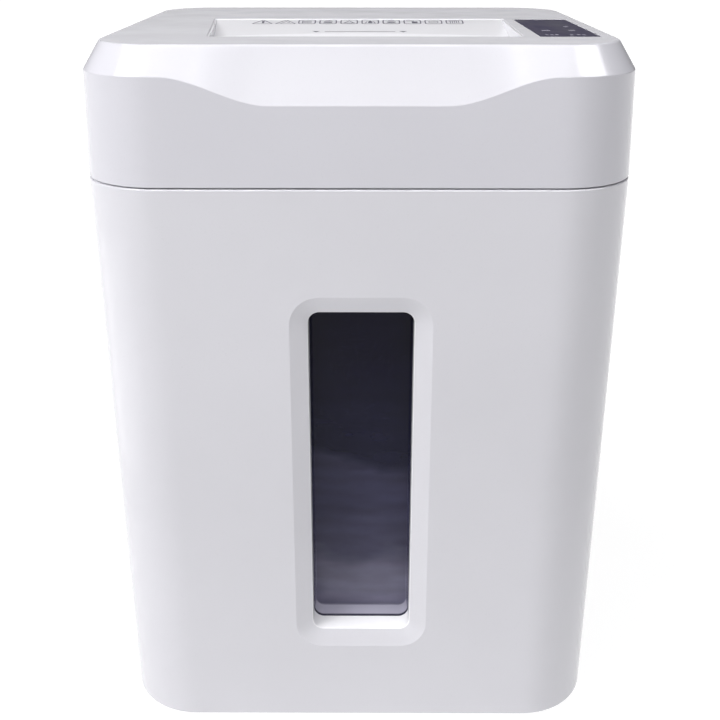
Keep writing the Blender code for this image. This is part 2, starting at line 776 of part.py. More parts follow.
def make_motor():
    centre = (0, MOTOR_Y, AXIS_Z)
    inner = MOTOR_RADIUS - 0.002
    profile = [
        (MOTOR_LEFT, inner),
        (MOTOR_LEFT, MOTOR_RADIUS),
        (MOTOR_RIGHT, MOTOR_RADIUS),
        (MOTOR_RIGHT, 0.0045),
        (MOTOR_RIGHT - 0.004, 0.0045),
        (MOTOR_RIGHT - 0.004, inner),
    ]
    turned("motor_can", profile, centre, zinc(), sides=20, closed=True)
    profile = [
        (MOTOR_LEFT - FIT, 0.0045),
        (MOTOR_LEFT - FIT, MOTOR_RADIUS),
        (MOTOR_LEFT - 0.006, MOTOR_RADIUS - 0.004),
        (MOTOR_LEFT - 0.006, 0.0045),
    ]
    turned("motor_end_cap", profile, centre, black_plastic(), sides=20, closed=True)
    shaft = 0.003
    profile = [
        (-0.006, shaft),
        (MOTOR_LEFT + 0.012, shaft),
        (MOTOR_LEFT + 0.012, inner - 0.003),
        (MOTOR_RIGHT - 0.016, inner - 0.003),
        (MOTOR_RIGHT - 0.016, shaft),
        (LAYER_THREE[1] + 0.001, shaft),
    ]
    set_origin(turned("motor_rotor", profile, centre, zinc(), sides=12), centre)
    make_fan(centre)


def make_fan(centre):
    blades = 7
    hub = 0.007
    reach = 0.023
    half = 0.16
    outline = []
    for i in range(blades):
        middle = 2 * math.pi * i / blades
        for radius, angle in ((hub, -half * 2), (reach, -half), (reach, half), (hub, half * 2)):
            y = centre[1] + radius * math.cos(middle + angle)
            z = centre[2] + radius * math.sin(middle + angle)
            outline.append((y, z))
    fan = prism_x("cooling_fan", outline, -0.005, 0.003, black_plastic())
    profile = [(-0.02, 0.003 + FIT), (0.02, 0.003 + FIT)]
    cut(fan, turned("bore", profile, centre, black_plastic(), sides=12))
    set_origin(fan, centre)


def make_electrics():
    box("power_board", (-0.168, -0.060, 0.4490), (-0.138, 0.060, 0.4506), circuit())
    profile = [(-0.105, 0.016), (-0.102, 0.0175), (-0.042, 0.0175), (-0.039, 0.016)]
    look = material("capacitor", (0.10, 0.12, 0.20), 0.35)
    turned("capacitor", profile, (0, 0.100, 0.4625), look, sides=16)
    low = (-0.004, FEED_FRONT - 0.0085, THROAT_LOW - 0.0015)
    box("paper_sensor_emitter", low, (0.004, FEED_FRONT - 0.0005, THROAT_LOW + 0.0035), black_plastic())
    low = (-0.004, SLOT_BACK + 0.0045, THROAT_LOW - 0.0015)
    box("paper_sensor_receiver", low, (0.004, SLOT_BACK + 0.012, THROAT_LOW + 0.0035), black_plastic())
    low = (0.1580, 0.060, BASE_TOP + FIT)
    box("reed_switch", low, (0.1720, 0.078, BASE_TOP + 0.008), black_plastic())


def make_power_switch():
    back = head_half(SWITCH_Z)[1] - 0.001
    low = (SWITCH_X - SWITCH_HALF_X, back - 0.018, SWITCH_Z - SWITCH_HALF_Z)
    high = (SWITCH_X + SWITCH_HALF_X, back, SWITCH_Z + SWITCH_HALF_Z)
    body = box("power_switch_body", low, high, black_plastic())
    low = (SWITCH_X - 0.0105, back - 0.0125, SWITCH_Z - 0.0072)
    cut(body, box("pocket", low, (SWITCH_X + 0.0105, back + 0.002, SWITCH_Z + 0.0072), black_plastic()))
    pivot = (SWITCH_X, back - 0.0055, SWITCH_Z)
    face = 0.003
    tall = 0.0056
    outline = [
        (face, -tall),
        (face, 0.0),
        (face + tall * math.tan(math.radians(ROCKER_THROW)), tall - 0.0002),
        (-0.001, 0.0050),
        (-0.003, 0.0),
        (-0.001, -0.0050),
    ]
    outline = [(y + pivot[1], z + pivot[2]) for y, z in outline]
    rocker = prism_x("power_rocker", outline, SWITCH_X - 0.0100, SWITCH_X + 0.0100, black_plastic())
    set_origin(rocker, pivot)


def make_cord_gland():
    back = head_half(GLAND_Z)[1] - 0.001
    profile = [
        (-0.012, GLAND_BORE),
        (-0.012, GLAND_RADIUS - 0.0015),
        (-0.0045, GLAND_RADIUS - 0.0015),
        (-0.0045, GLAND_RADIUS - 0.0002),
        (0, GLAND_RADIUS - 0.0002),
        (0, GLAND_BORE),
    ]
    turned("cord_gland", profile, (GLAND_X, back, GLAND_Z), black_plastic(), sides=16, axis="Y", closed=True)


def main():
    clear_scene()
    make_bin_shell()
    make_window_pane()
    make_feet()
    make_bin_magnet()
    make_head_cover()
    make_head_base()
    make_feed_throat()
    make_touch_panel()
    make_side_plates()
    make_tie_rods()
    make_roller("front", FRONT_Y)
    make_roller("rear", REAR_Y)
    make_combs()
    make_gears()
    make_gear_cover()
    make_motor()
    make_electrics()
    make_power_switch()
    make_cord_gland()


main()
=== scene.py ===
"""Paper shredder: the finished look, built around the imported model.

Metres, +Z up, +X to the right and -Y to the front. Every piece rides the body that it belongs to.
"""

import math

import bmesh
import bpy
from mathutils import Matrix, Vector


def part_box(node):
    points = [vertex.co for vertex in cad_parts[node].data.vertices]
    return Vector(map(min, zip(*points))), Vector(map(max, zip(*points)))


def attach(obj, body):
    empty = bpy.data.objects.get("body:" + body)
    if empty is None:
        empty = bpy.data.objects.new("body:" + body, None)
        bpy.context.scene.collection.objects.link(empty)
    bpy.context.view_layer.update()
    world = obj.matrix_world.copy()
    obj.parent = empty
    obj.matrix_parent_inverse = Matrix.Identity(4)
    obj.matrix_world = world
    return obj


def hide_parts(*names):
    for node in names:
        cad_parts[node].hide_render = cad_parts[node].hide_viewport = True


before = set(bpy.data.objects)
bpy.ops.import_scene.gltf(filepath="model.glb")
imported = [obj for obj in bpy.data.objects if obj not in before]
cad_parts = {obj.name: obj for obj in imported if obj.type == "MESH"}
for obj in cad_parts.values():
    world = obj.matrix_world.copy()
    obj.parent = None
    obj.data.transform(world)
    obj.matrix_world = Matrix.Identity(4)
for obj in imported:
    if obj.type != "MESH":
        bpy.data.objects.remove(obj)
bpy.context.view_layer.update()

# Outer form
WIDTH = 0.377
DEPTH = 0.346
TOP = 0.5304
SHOULDER = 0.5112
SEAM = 0.4380
HEAD_LOW = 0.4388
FOOT_HEIGHT = 0.004
CORNER = 0.055
CHAMFER = 0.012
HEAD_DRAFT = math.radians(1.1)
SIDE_DRAFT = math.radians(0.60)
FRONT_DRAFT = math.radians(0.80)
WALL = 0.003
FIT = 0.0003
CORNER_STEPS = 18

# Dip of the shoulder line across the front
DIP = 0.0185
DIP_OUTER = 0.130
DIP_INNER = 0.058
DIP_STEPS = 26

# Bin rim and floor
RIM_WIDTH = 0.0075
RIM_DEPTH = 0.018
FLOOR = 0.0045
BASE_EDGE = 0.002
FOOT_X = 0.135
FOOT_Y = 0.110

# Window, measured along the sloping front wall
WINDOW_LOW = 0.0833
WINDOW_HIGH = 0.3488
WINDOW_WIDTH = 0.0745
WINDOW_X = 0.0017
WINDOW_CORNER = 0.008
BEVEL = 0.0128
BEVEL_DEPTH = 0.0056
WELL_DEPTH = 0.0203
WELL_WALL = 0.0085
PANE = 0.002
PANE_FLANGE = 0.0075
PANE_DISH = 0.013
PANE_RIM_Y = -0.1491
PANE_HAZE_LOW = 0.085
PANE_HAZE_HIGH = 0.345

# Feed opening, its ramp and the slot along its front edge
FEED = ((-0.105, -0.109), (0.114, -0.109), (0.1175, 0.035), (-0.1195, 0.035))
FEED_FRONT = -0.109
FEED_BACK = 0.035
THROAT_WALL = 0.0010
RAMP_HIGH = TOP - 0.0006
RAMP_BEND_Y = -0.019
RAMP_BEND = TOP - 0.0074
RAMP_LOW = TOP - 0.0245
SLOT_FRONT = FEED_FRONT + 0.0028
SLOT_BACK = FEED_FRONT + 0.0130
NECK_FRONT = FEED_FRONT + 0.0044
NECK_BACK = FEED_FRONT + 0.0110
THROAT_LOW = 0.500
BEND_BOW = 0.010

# Back and sides of the head
VENT_COUNT = 9
VENT_PITCH = 0.009
VENT_WIDTH = 0.0032
VENT_LOW = 0.462
VENT_HIGH = 0.494
GRIP_HALF = 0.045
GRIP_LOW = 0.4500
GRIP_HIGH = 0.4680
GRIP_DEEP = 0.012
SWITCH_X = 0.110
SWITCH_Z = 0.474
SWITCH_HALF_X = 0.0127
SWITCH_HALF_Z = 0.0092
GLAND_X = -0.110
GLAND_Z = 0.460
GLAND_RADIUS = 0.008
GLAND_BORE = 0.0036
BASE_TOP = 0.443
POST_X = 0.168
POST_Y = 0.117
POST_HIGH = 0.462
POST_HALF = 0.006
POST_BORE = 0.0021

# Cutting rollers
AXIS_Z = 0.478
NIP_Y = (NECK_FRONT + NECK_BACK) / 2
ROLLER_Y = {"front": NIP_Y - 0.0165, "rear": NIP_Y + 0.0165}
DISC_COUNT = 28
DISC_PITCH = 0.008
DISC_WIDTH = 0.0036
DISC_TEETH = 9
DISC_TWIST = 0.21
PACK_HALF = 0.1125
SPACER_RADIUS = 0.012
SHAFT_RADIUS = 0.008


# ---- Materials ----


class Look:
    """One material's nodes: a shader, and short calls for the textures that feed it."""

    def __init__(self, name):
        self.material = bpy.data.materials.new(name)
        self.material.use_nodes = True
        self.tree = self.material.node_tree
        self.tree.nodes.clear()
        self.shader = self.add("ShaderNodeBsdfPrincipled")
        self.out = self.add("ShaderNodeOutputMaterial")
        self.join(self.shader.outputs[0], self.out.inputs[0])
        self.place = self.add("ShaderNodeTexCoord").outputs["Object"]
        self.surface = None

    def add(self, kind, **settings):
        node = self.tree.nodes.new(kind)
        for key, value in settings.items():
            setattr(node, key, value)
        return node

    def join(self, source, target):
        self.tree.links.new(source, target)

    def put(self, target, value):
        if isinstance(value, bpy.types.NodeSocket):
            self.join(value, target)
        else:
            target.default_value = value

    def stretched(self, stretch):
        mapping = self.add("ShaderNodeMapping")
        self.join(self.place, mapping.inputs["Vector"])
        mapping.inputs["Scale"].default_value = stretch
        return mapping.outputs["Vector"]

    def noise(self, scale, detail=2.0, stretch=None):
        node = self.add("ShaderNodeTexNoise")
        self.join(self.stretched(stretch) if stretch else self.place, node.inputs["Vector"])
        node.inputs["Scale"].default_value = scale
        node.inputs["Detail"].default_value = detail
        return node.outputs[0]

    def cells(self, scale, feature="F1"):
        node = self.add("ShaderNodeTexVoronoi", feature=feature)
        self.join(self.place, node.inputs["Vector"])
        node.inputs["Scale"].default_value = scale
        return node

    def spread(self, value, low, high, start=0.3, end=0.7):
        """value between start and end, carried to low and high."""
        node = self.add("ShaderNodeMapRange")
        self.join(value, node.inputs[0])
        for socket, number in zip(node.inputs[1:5], (start, end, low, high)):
            socket.default_value = number
        return node.outputs[0]

    def maths(self, operation, first, second):
        node = self.add("ShaderNodeMath", operation=operation)
        self.put(node.inputs[0], first)
        self.put(node.inputs[1], second)
        return node.outputs[0]

    def blend(self, factor, first, second):
        node = self.add("ShaderNodeMix", data_type="RGBA")
        self.put(node.inputs[0], factor)
        for socket, value in zip((node.inputs[6], node.inputs[7]), (first, second)):
            self.put(socket, value if isinstance(value, bpy.types.NodeSocket) else (*value, 1.0))
        return node.outputs[2]

    def axis(self, name):
        node = self.add("ShaderNodeSeparateXYZ")
        self.join(self.place, node.inputs[0])
        return node.outputs[name]

    def edges(self, radius=0.0008):
        """1 on an outer edge and 0 on flat faces, from how far a rounded edge's normal leans away."""
        bevel = self.add("ShaderNodeBevel", samples=4)
        bevel.inputs["Radius"].default_value = radius
        geometry = self.add("ShaderNodeNewGeometry")
        dot = self.add("ShaderNodeVectorMath", operation="DOT_PRODUCT")
        self.join(bevel.outputs[0], dot.inputs[0])
        self.join(geometry.outputs["Normal"], dot.inputs[1])
        self.surface = bevel.outputs[0]
        return self.spread(dot.outputs["Value"], 1.0, 0.0, 0.80, 0.985)

    def points(self):
        """1 on the crest of a finely modelled edge."""
        geometry = self.add("ShaderNodeNewGeometry")
        return self.spread(geometry.outputs["Pointiness"], 0.0, 1.0, 0.51, 0.56)

    def bump(self, *layers):
        """Layers of (height, depth in metres), each laid over the one before."""
        normal = self.surface
        for height, depth in layers:
            node = self.add("ShaderNodeBump")
            node.inputs["Strength"].default_value = 1.0
            node.inputs["Distance"].default_value = depth
            self.join(height, node.inputs["Height"])
            if normal is not None:
                self.join(normal, node.inputs["Normal"])
            normal = node.outputs[0]
        self.join(normal, self.shader.inputs["Normal"])

    def finish(self, color, roughness, metallic=0.0, specular=0.5, alpha=1.0):
        self.put(self.shader.inputs["Base Color"], color)
        self.put(self.shader.inputs["Roughness"], roughness)
        self.put(self.shader.inputs["Metallic"], metallic)
        self.put(self.shader.inputs["Alpha"], alpha)
        self.shader.inputs["Specular IOR Level"].default_value = specular
        return self.material


def tint(color, amount):
    return tuple(min(1.0, channel * amount) for channel in color)


def glossy_plastic(name, color, gloss=(0.13, 0.19)):
    """Polished moulded plastic: a faint orange peel, drifting shade, tiny specks and softened crests."""
    look = Look(name)
    cloud = look.noise(6.0, 3.0)
    speck = look.noise(900.0, 2.0)
    base = look.blend(look.spread(cloud, 0.0, 1.0), tint(color, 0.975), tint(color, 1.015))
    base = look.blend(look.spread(speck, 0.0, 0.5, 0.62, 0.75), base, tint(color, 0.93))
    scuff = look.maths("MULTIPLY", look.points(), look.spread(look.noise(60.0, 4.0), 0.0, 0.5))
    base = look.blend(scuff, base, tint(color, 1.05))
    smear = look.noise(22.0, 5.0, stretch=(1.0, 1.0, 0.35))
    rough = look.spread(smear, gloss[0], gloss[1])
    rough = look.maths("ADD", rough, look.maths("MULTIPLY", scuff, 0.12))
    look.bump((look.noise(260.0, 2.0), 0.000012), (speck, 0.000003))
    return look.finish(base, rough)


def grained_plastic(name, color, gloss=(0.38, 0.52), grain=1500.0, depth=0.00004, worn=1.6, fine=False):
    """Spark-textured plastic with a lighter rub along its edges, or along its crests when finely modelled."""
    look = Look(name)
    texture = look.noise(grain, 3.0)
    cloud = look.noise(14.0, 3.0)
    base = look.blend(look.spread(cloud, 0.0, 1.0), tint(color, 0.88), tint(color, 1.10))
    base = look.blend(look.spread(texture, 0.0, 0.35), base, tint(color, 1.25))
    wear = look.points() if fine else look.edges()
    rub = look.maths("MULTIPLY", wear, look.spread(look.noise(180.0, 4.0), 0.1, 0.8))
    base = look.blend(rub, base, tint(color, worn))
    rough = look.spread(cloud, gloss[0], gloss[1])
    rough = look.maths("SUBTRACT", rough, look.maths("MULTIPLY", rub, 0.08))
    look.bump((texture, depth), (look.noise(90.0, 2.0), 0.00002))
    return look.finish(base, rough)


def metal(name, color, stretch, gloss=(0.22, 0.40), stain=None):
    """Drawn or ground metal: fine lines along its length, drifting tone, and bright worn edges."""
    look = Look(name)
    lines = look.noise(1.0, 4.0, stretch=stretch)
    cloud = look.noise(38.0, 4.0)
    base = look.blend(look.spread(cloud, 0.0, 1.0), tint(color, 0.82), tint(color, 1.05))
    base = look.blend(look.spread(lines, 0.0, 0.5), base, tint(color, 1.16))
    if stain:
        patch = look.spread(look.noise(120.0, 5.0), 0.0, 0.55, 0.52, 0.68)
        base = look.blend(patch, base, stain)
    rub = look.maths("MULTIPLY", look.edges(0.0005), look.spread(look.noise(300.0, 3.0), 0.3, 1.0))
    base = look.blend(rub, base, tint(color, 1.25))
    rough = look.spread(look.noise(75.0, 5.0), gloss[0], gloss[1])
    rough = look.maths("ADD", rough, look.maths("MULTIPLY", lines, 0.06))
    look.bump((lines, 0.000012), (look.noise(500.0, 2.0), 0.000006))
    return look.finish(base, rough, metallic=1.0)


def plated(name, color):
    """Zinc plate: small crystal patches, each with its own tone and gloss."""
    look = Look(name)
    crystal = look.cells(420.0)
    tone = look.spread(crystal.outputs["Color"], 0.0, 1.0, 0.0, 1.0)
    base = look.blend(tone, tint(color, 0.80), tint(color, 1.08))
    rub = look.maths("MULTIPLY", look.edges(0.0005), look.spread(look.noise(260.0, 3.0), 0.2, 1.0))
    base = look.blend(rub, base, tint(color, 1.2))
    rough = look.spread(tone, 0.28, 0.46, 0.0, 1.0)
    look.bump((crystal.outputs["Distance"], 0.00001), (look.noise(800.0, 3.0), 0.000008))
    return look.finish(base, rough, metallic=1.0)


def moulded_rubber():
    look = Look("moulded_rubber")
    grain = look.noise(1100.0, 3.0)
    dust = look.spread(look.noise(160.0, 5.0), 0.0, 0.5, 0.5, 0.75)
    base = look.blend(look.spread(grain, 0.0, 1.0), (0.020, 0.020, 0.021), (0.038, 0.037, 0.037))
    base = look.blend(dust, base, (0.11, 0.105, 0.10))
    look.bump((grain, 0.00006), (look.cells(700.0).outputs["Distance"], 0.00003))
    return look.finish(base, look.spread(grain, 0.72, 0.92), specular=0.3)


def smoked_pane():
    """Tinted clear plastic: hazed with paper dust up to a wavy line, with a pale painted reflection on the
    dish wall at its foot, and wipe marks.
    """
    look = Look("smoked_pane")
    wander = look.spread(look.noise(13.0, 3.0, stretch=(1.0, 1.0, 2.5)), -0.014, 0.014)
    height = look.maths("ADD", look.axis("Z"), wander)
    haze = look.add("ShaderNodeValToRGB")
    look.join(look.spread(height, 0.0, 1.0, PANE_HAZE_LOW, PANE_HAZE_HIGH), haze.inputs[0])
    ramp = haze.color_ramp
    stops = (
        (0.0, (0.240, 0.232, 0.320)),
        (0.10, (0.170, 0.164, 0.235)),
        (0.22, (0.068, 0.065, 0.112)),
        (0.36, (0.050, 0.048, 0.094)),
        (0.50, (0.046, 0.044, 0.086)),
        (0.55, (0.013, 0.013, 0.036)),
        (1.0, (0.002, 0.001, 0.015)),
    )
    ramp.elements[0].position = stops[0][0]
    ramp.elements[0].color = (*stops[0][1], 1.0)
    ramp.elements[1].position = stops[-1][0]
    ramp.elements[1].color = (*stops[-1][1], 1.0)
    for position, color in stops[1:-1]:
        ramp.elements.new(position).color = (*color, 1.0)
    swirl = look.add("ShaderNodeTexWave", bands_direction="Z")
    look.join(look.place, swirl.inputs["Vector"])
    for socket, number in (("Scale", 22.0), ("Distortion", 7.0), ("Detail", 3.0), ("Detail Scale", 0.7)):
        swirl.inputs[socket].default_value = number
    streak = look.noise(1.0, 4.0, stretch=(16.0, 16.0, 60.0))
    grain = look.spread(swirl.outputs["Fac"], 0.02, 0.13, 0.0, 1.0)
    streak = look.maths("ADD", grain, look.spread(streak, 0.80, 1.08))
    dust = look.spread(look.noise(1400.0, 2.0), 0.0, 0.35, 0.66, 0.78)
    base = look.blend(look.spread(look.noise(30.0, 4.0), 0.0, 0.12), haze.outputs[0], (0.03, 0.03, 0.045))
    shade = look.add("ShaderNodeVectorMath", operation="SCALE")
    look.join(base, shade.inputs[0])
    look.join(streak, shade.inputs[3])
    base = look.blend(dust, shade.outputs[0], (0.16, 0.155, 0.18))
    # Painted reflection: the dish wall along the pane's foot is coloured pale grey to stand in for the
    # reflection it shows.
    foot = look.spread(look.axis("Z"), 1.0, 0.0, WINDOW_LOW + 0.0060, WINDOW_LOW + 0.0080)
    painted_reflection_wall = look.spread(look.axis("Y"), 1.0, 0.0, PANE_RIM_Y + 0.0120, PANE_RIM_Y + 0.0130)
    base = look.blend(look.maths("MULTIPLY", foot, painted_reflection_wall), base, (0.450, 0.435, 0.530))
    rim = look.spread(look.axis("Y"), 1.0, 0.0, PANE_RIM_Y + 0.0015, PANE_RIM_Y + 0.0028)
    base = look.blend(rim, base, (0.030, 0.029, 0.052))
    rough = look.spread(look.noise(45.0, 5.0), 0.05, 0.13)
    look.bump((look.noise(7.0, 1.0), 0.0004), (look.noise(900.0, 2.0), 0.000003))
    return look.finish(base, rough, specular=0.16, alpha=0.95)


def touch_glass():
    look = Look("touch_glass")
    smear = look.noise(55.0, 5.0, stretch=(1.0, 0.4, 1.0))
    base = look.blend(look.spread(smear, 0.0, 1.0), (0.024, 0.020, 0.050), (0.038, 0.032, 0.072))
    base = look.blend(look.spread(look.noise(1500.0, 2.0), 0.0, 0.3, 0.68, 0.78), base, (0.09, 0.09, 0.11))
    rough = look.spread(smear, 0.30, 0.42)
    look.bump((look.noise(12.0, 1.0), 0.00004), (look.noise(1200.0, 2.0), 0.000002))
    return look.finish(base, rough, specular=0.2)


def printed_ink(name, color):
    look = Look(name)
    grain = look.noise(2600.0, 3.0)
    thin = look.spread(look.noise(420.0, 4.0), 0.0, 0.5, 0.5, 0.75)
    base = look.blend(look.spread(grain, 0.0, 1.0), tint(color, 0.85), tint(color, 1.15))
    base = look.blend(thin, base, tint(color, 1.5))
    look.bump((grain, 0.00001))
    return look.finish(base, look.spread(grain, 0.35, 0.5))


def circuit_board():
    look = Look("circuit_board")
    lanes = look.cells(260.0, "DISTANCE_TO_EDGE").outputs["Distance"]
    track = look.spread(lanes, 1.0, 0.0, 0.04, 0.07)
    weave = look.noise(1.0, 1.0, stretch=(1800.0, 1800.0, 300.0))
    base = look.blend(look.spread(weave, 0.0, 1.0), (0.010, 0.075, 0.030), (0.016, 0.105, 0.044))
    base = look.blend(look.maths("MULTIPLY", track, 0.7), base, (0.035, 0.19, 0.075))
    base = look.blend(look.maths("MULTIPLY", look.edges(), 0.6), base, (0.20, 0.19, 0.10))
    look.bump((track, 0.00003), (weave, 0.00001))
    return look.finish(base, look.spread(weave, 0.28, 0.42))


def wound_capacitor():
    look = Look("capacitor_sleeve")
    cloud = look.noise(50.0, 3.0)
    base = look.blend(look.spread(cloud, 0.0, 1.0), (0.030, 0.040, 0.085), (0.045, 0.058, 0.115))
    band = look.spread(look.axis("X"), 1.0, 0.0, -0.0985, -0.0975)
    base = look.blend(look.maths("MULTIPLY", band, 0.8), base, (0.22, 0.23, 0.25))
    base = look.blend(look.maths("MULTIPLY", look.edges(), 0.5), base, (0.12, 0.14, 0.22))
    look.bump((look.noise(240.0, 3.0), 0.00003))
    return look.finish(base, look.spread(cloud, 0.22, 0.34))


SHELL_WHITE = (0.735, 0.728, 0.775)
# The head's white: the same plastic as the bin's, set darker as painted shade for the dimmer light on the
# head.
HEAD_SHADED_WHITE = (0.690, 0.683, 0.735)
BLACK = (0.022, 0.022, 0.025)

bin_white = glossy_plastic("bin_white", SHELL_WHITE)
# A lighter copy of the bin's white for the window recess walls: painted light where the recess catches the
# light from above.
recess_lit_white = glossy_plastic("recess_lit_white", (0.93, 0.925, 0.95))
head_shaded_white = glossy_plastic("head_shaded_white", HEAD_SHADED_WHITE)
feed_white = glossy_plastic("feed_white", (0.845, 0.84, 0.875), (0.10, 0.15))
pane_look = smoked_pane()
glass_look = touch_glass()
ink = printed_ink("ramp_ink", (0.050, 0.045, 0.075))
pale_ink = printed_ink("panel_ink", (0.42, 0.41, 0.48))
mark_ink = printed_ink("switch_ink", (0.70, 0.70, 0.70))
rubber = moulded_rubber()
grey = grained_plastic("grey_plastic", (0.20, 0.20, 0.215))
black = grained_plastic("black_plastic", BLACK, worn=2.6)
black_fine = grained_plastic("black_fine", BLACK, worn=2.6, fine=True)
rocker_black = grained_plastic("rocker_black", (0.016, 0.016, 0.018), (0.22, 0.32), 900.0, 0.00001, 2.4, True)
plate_steel = metal("plate_steel", (0.50, 0.50, 0.51), (700.0, 60.0, 700.0))
cutter_steel = metal(
    "cutter_steel", (0.40, 0.40, 0.41), (900.0, 220.0, 220.0), (0.20, 0.36), (0.20, 0.17, 0.14)
)
gear_steel = metal("gear_steel", (0.36, 0.355, 0.35), (300.0, 300.0, 300.0), (0.30, 0.46), (0.16, 0.14, 0.12))
bronze = metal("bronze", (0.46, 0.28, 0.12), (200.0, 500.0, 500.0), (0.30, 0.44), (0.20, 0.11, 0.05))
zinc = plated("zinc_plate", (0.60, 0.60, 0.58))
nylon = grained_plastic("nylon", (0.66, 0.63, 0.55), (0.36, 0.5), 700.0, 0.00002, 1.15)
board = circuit_board()
sleeve = wound_capacitor()



# ---- Mesh helpers ----


def settle(mesh, angle=34.0):
    shape = bmesh.new()
    shape.from_mesh(mesh)
    bmesh.ops.remove_doubles(shape, verts=shape.verts, dist=1e-7)
    bmesh.ops.recalc_face_normals(shape, faces=shape.faces)
    shape.to_mesh(mesh)
    shape.free()
    mesh.shade_smooth()
    mesh.set_sharp_from_angle(angle=math.radians(angle))


def mesh_object(name, points, faces, look):
    mesh = bpy.data.meshes.new(name)
    mesh.from_pydata([tuple(p) for p in points], [], faces)
    settle(mesh)
    mesh.materials.append(look)
    made = bpy.data.objects.new(name, mesh)
    bpy.context.scene.collection.objects.link(made)
    return made


def loft(name, rings, look, closed=False):
    """A closed skin through rings of equal count: capped at both ends, or joined end to end when closed."""
    count = len(rings[0])
    points = [p for ring in rings for p in ring]
    faces = []
    for i in range(len(rings) if closed else len(rings) - 1):
        low = i * count
        high = ((i + 1) % len(rings)) * count
        for j in range(count):
            k = (j + 1) % count
            faces.append((low + j, low + k, high + k, high + j))
    if not closed:
        faces.append(tuple(reversed(range(count))))
        faces.append(tuple(range((len(rings) - 1) * count, len(rings) * count)))
    return mesh_object(name, points, faces, look)


def combine(target, tool, operation):
    modifier = target.modifiers.new(operation.lower(), "BOOLEAN")
    modifier.operation = operation
    modifier.solver = "EXACT"
    modifier.object = tool
    bpy.context.view_layer.update()
    graph = bpy.context.evaluated_depsgraph_get()
    result = bpy.data.meshes.new_from_object(target.evaluated_get(graph))
    target.modifiers.clear()
    target.data = result
    result.name = target.name
    bpy.data.objects.remove(tool)
    return target


def cut(target, tool):
    return combine(target, tool, "DIFFERENCE")


def union(target, tool):
    return combine(target, tool, "UNION")


def polish(piece, angle=34.0):
    """Smooth shading that leaves flat faces flat beside their rounded edges."""
    settle(piece.data, angle)
    weighted = piece.modifiers.new("weighted", "WEIGHTED_NORMAL")
    weighted.keep_sharp = True
    weighted.weight = 60
    return piece


def mount(piece, body, slot, *nodes):
    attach(piece, body)
    if nodes:
        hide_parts(*nodes)
    return piece


def filleted(points, radii, steps=4):
    """A polyline with each corner that has a radius turned into an arc of steps spans."""
    made = []
    for i, here in enumerate(points):
        if radii[i] <= 0:
            made.append(tuple(here))
            continue
        here = Vector(here)
        back = Vector(points[i - 1]) - here
        ahead = Vector(points[(i + 1) % len(points)]) - here
        room = 0.48 * min(back.length, ahead.length)
        back.normalize()
        ahead.normalize()
        half = back.angle(ahead) / 2
        reach = min(radii[i] / math.tan(half), room)
        radius = reach * math.tan(half)
        centre = here + (back + ahead).normalized() * (radius / math.sin(half))
        start = here + back * reach - centre
        end = here + ahead * reach - centre
        turn = start.angle_signed(end)
        for k in range(steps + 1):
            angle = -turn * k / steps
            x = start.x * math.cos(angle) - start.y * math.sin(angle)
            y = start.x * math.sin(angle) + start.y * math.cos(angle)
            made.append((centre.x + x, centre.y + y))
    return made


def rounded_outline(corners, radius, grow=0.0, steps=6):
    """A convex outline, anticlockwise, pushed outward by grow, with rounded corners."""
    made = []
    for i, corner in enumerate(corners):
        here = Vector(corner)
        into = (here - Vector(corners[i - 1])).normalized()
        away = (Vector(corners[(i + 1) % len(corners)]) - here).normalized()
        first = Vector((into.y, -into.x))
        last = Vector((away.y, -away.x))
        turn = first.angle(last)
        centre = here - (first + last).normalized() * (radius / math.cos(turn / 2))
        start = math.atan2(first.y, first.x)
        for k in range(steps + 1):
            angle = start + turn * k / steps
            reach = radius + grow
            made.append((centre.x + reach * math.cos(angle), centre.y + reach * math.sin(angle)))
    return made


def rectangle(x0, y0, x1, y1):
    return ((x0, y0), (x1, y0), (x1, y1), (x0, y1))


def sweep(name, corners, radius, levels, place, look, steps=6):
    """A closed skin through an outline at each (grow, depth) level, set out in space by place."""
    rings = []
    for grow, depth in levels:
        rings.append([place(u, v, depth) for u, v in rounded_outline(corners, radius, grow, steps)])
    return loft(name, rings, look)


def mouth(radius, deep, steps=5):
    """Levels of a hole that opens with a rounded edge at depth 0 and runs straight to deep."""
    levels = [(radius, -0.002)]
    for k in range(steps + 1):
        angle = math.pi / 2 * k / steps
        levels.append((radius * (1 - math.sin(angle)), radius * (1 - math.cos(angle)) - 0.00002))
    return [*levels, (0.0, deep)]


def raised(radius, low, high, steps=4):
    """Levels of a solid between two heights, its upper edge rounded."""
    levels = [(0.0, low), (0.0, high - radius)]
    for k in range(1, steps + 1):
        angle = math.pi / 2 * k / steps
        levels.append((-radius * (1 - math.cos(angle)), high - radius + radius * math.sin(angle)))
    return levels


def circle(sides):
    """Points of a unit circle."""
    turns = [2 * math.pi * i / sides for i in range(sides)]
    return [(math.cos(turn), math.sin(turn)) for turn in turns]


def upright(u, v, height):
    return (u, v, height)


def lathe(name, profile, centre, look, axis="Z", sides=48, closed=False):
    """A turned piece from (place along the axis, radius) pairs."""
    rings = []
    for along, radius in profile:
        ring = []
        for i in range(sides):
            angle = 2 * math.pi * (i + 0.5) / sides
            a = radius * math.cos(angle)
            b = radius * math.sin(angle)
            offset = {"X": (along, a, b), "Y": (a, along, b), "Z": (a, b, along)}[axis]
            ring.append(Vector(centre) + Vector(offset))
        rings.append(ring)
    return loft(name, rings, look, closed)


# ---- Case outlines ----


def shoulder_height(x):
    """Height of the line where the chamfer meets the front: level at the sides, lower in the middle."""
    t = min(max((DIP_OUTER - abs(x)) / (DIP_OUTER - DIP_INNER), 0.0), 1.0)
    return SHOULDER - DIP * t * t * (3 - 2 * t)


def head_half(z):
    flare = (SHOULDER - z) * math.tan(HEAD_DRAFT)
    return WIDTH / 2 + flare, DEPTH / 2 + flare


def bin_half(z):
    half_x, half_y = head_half(HEAD_LOW)
    drop = SEAM - z
    return half_x - drop * math.tan(SIDE_DRAFT), half_y - drop * math.tan(FRONT_DRAFT)


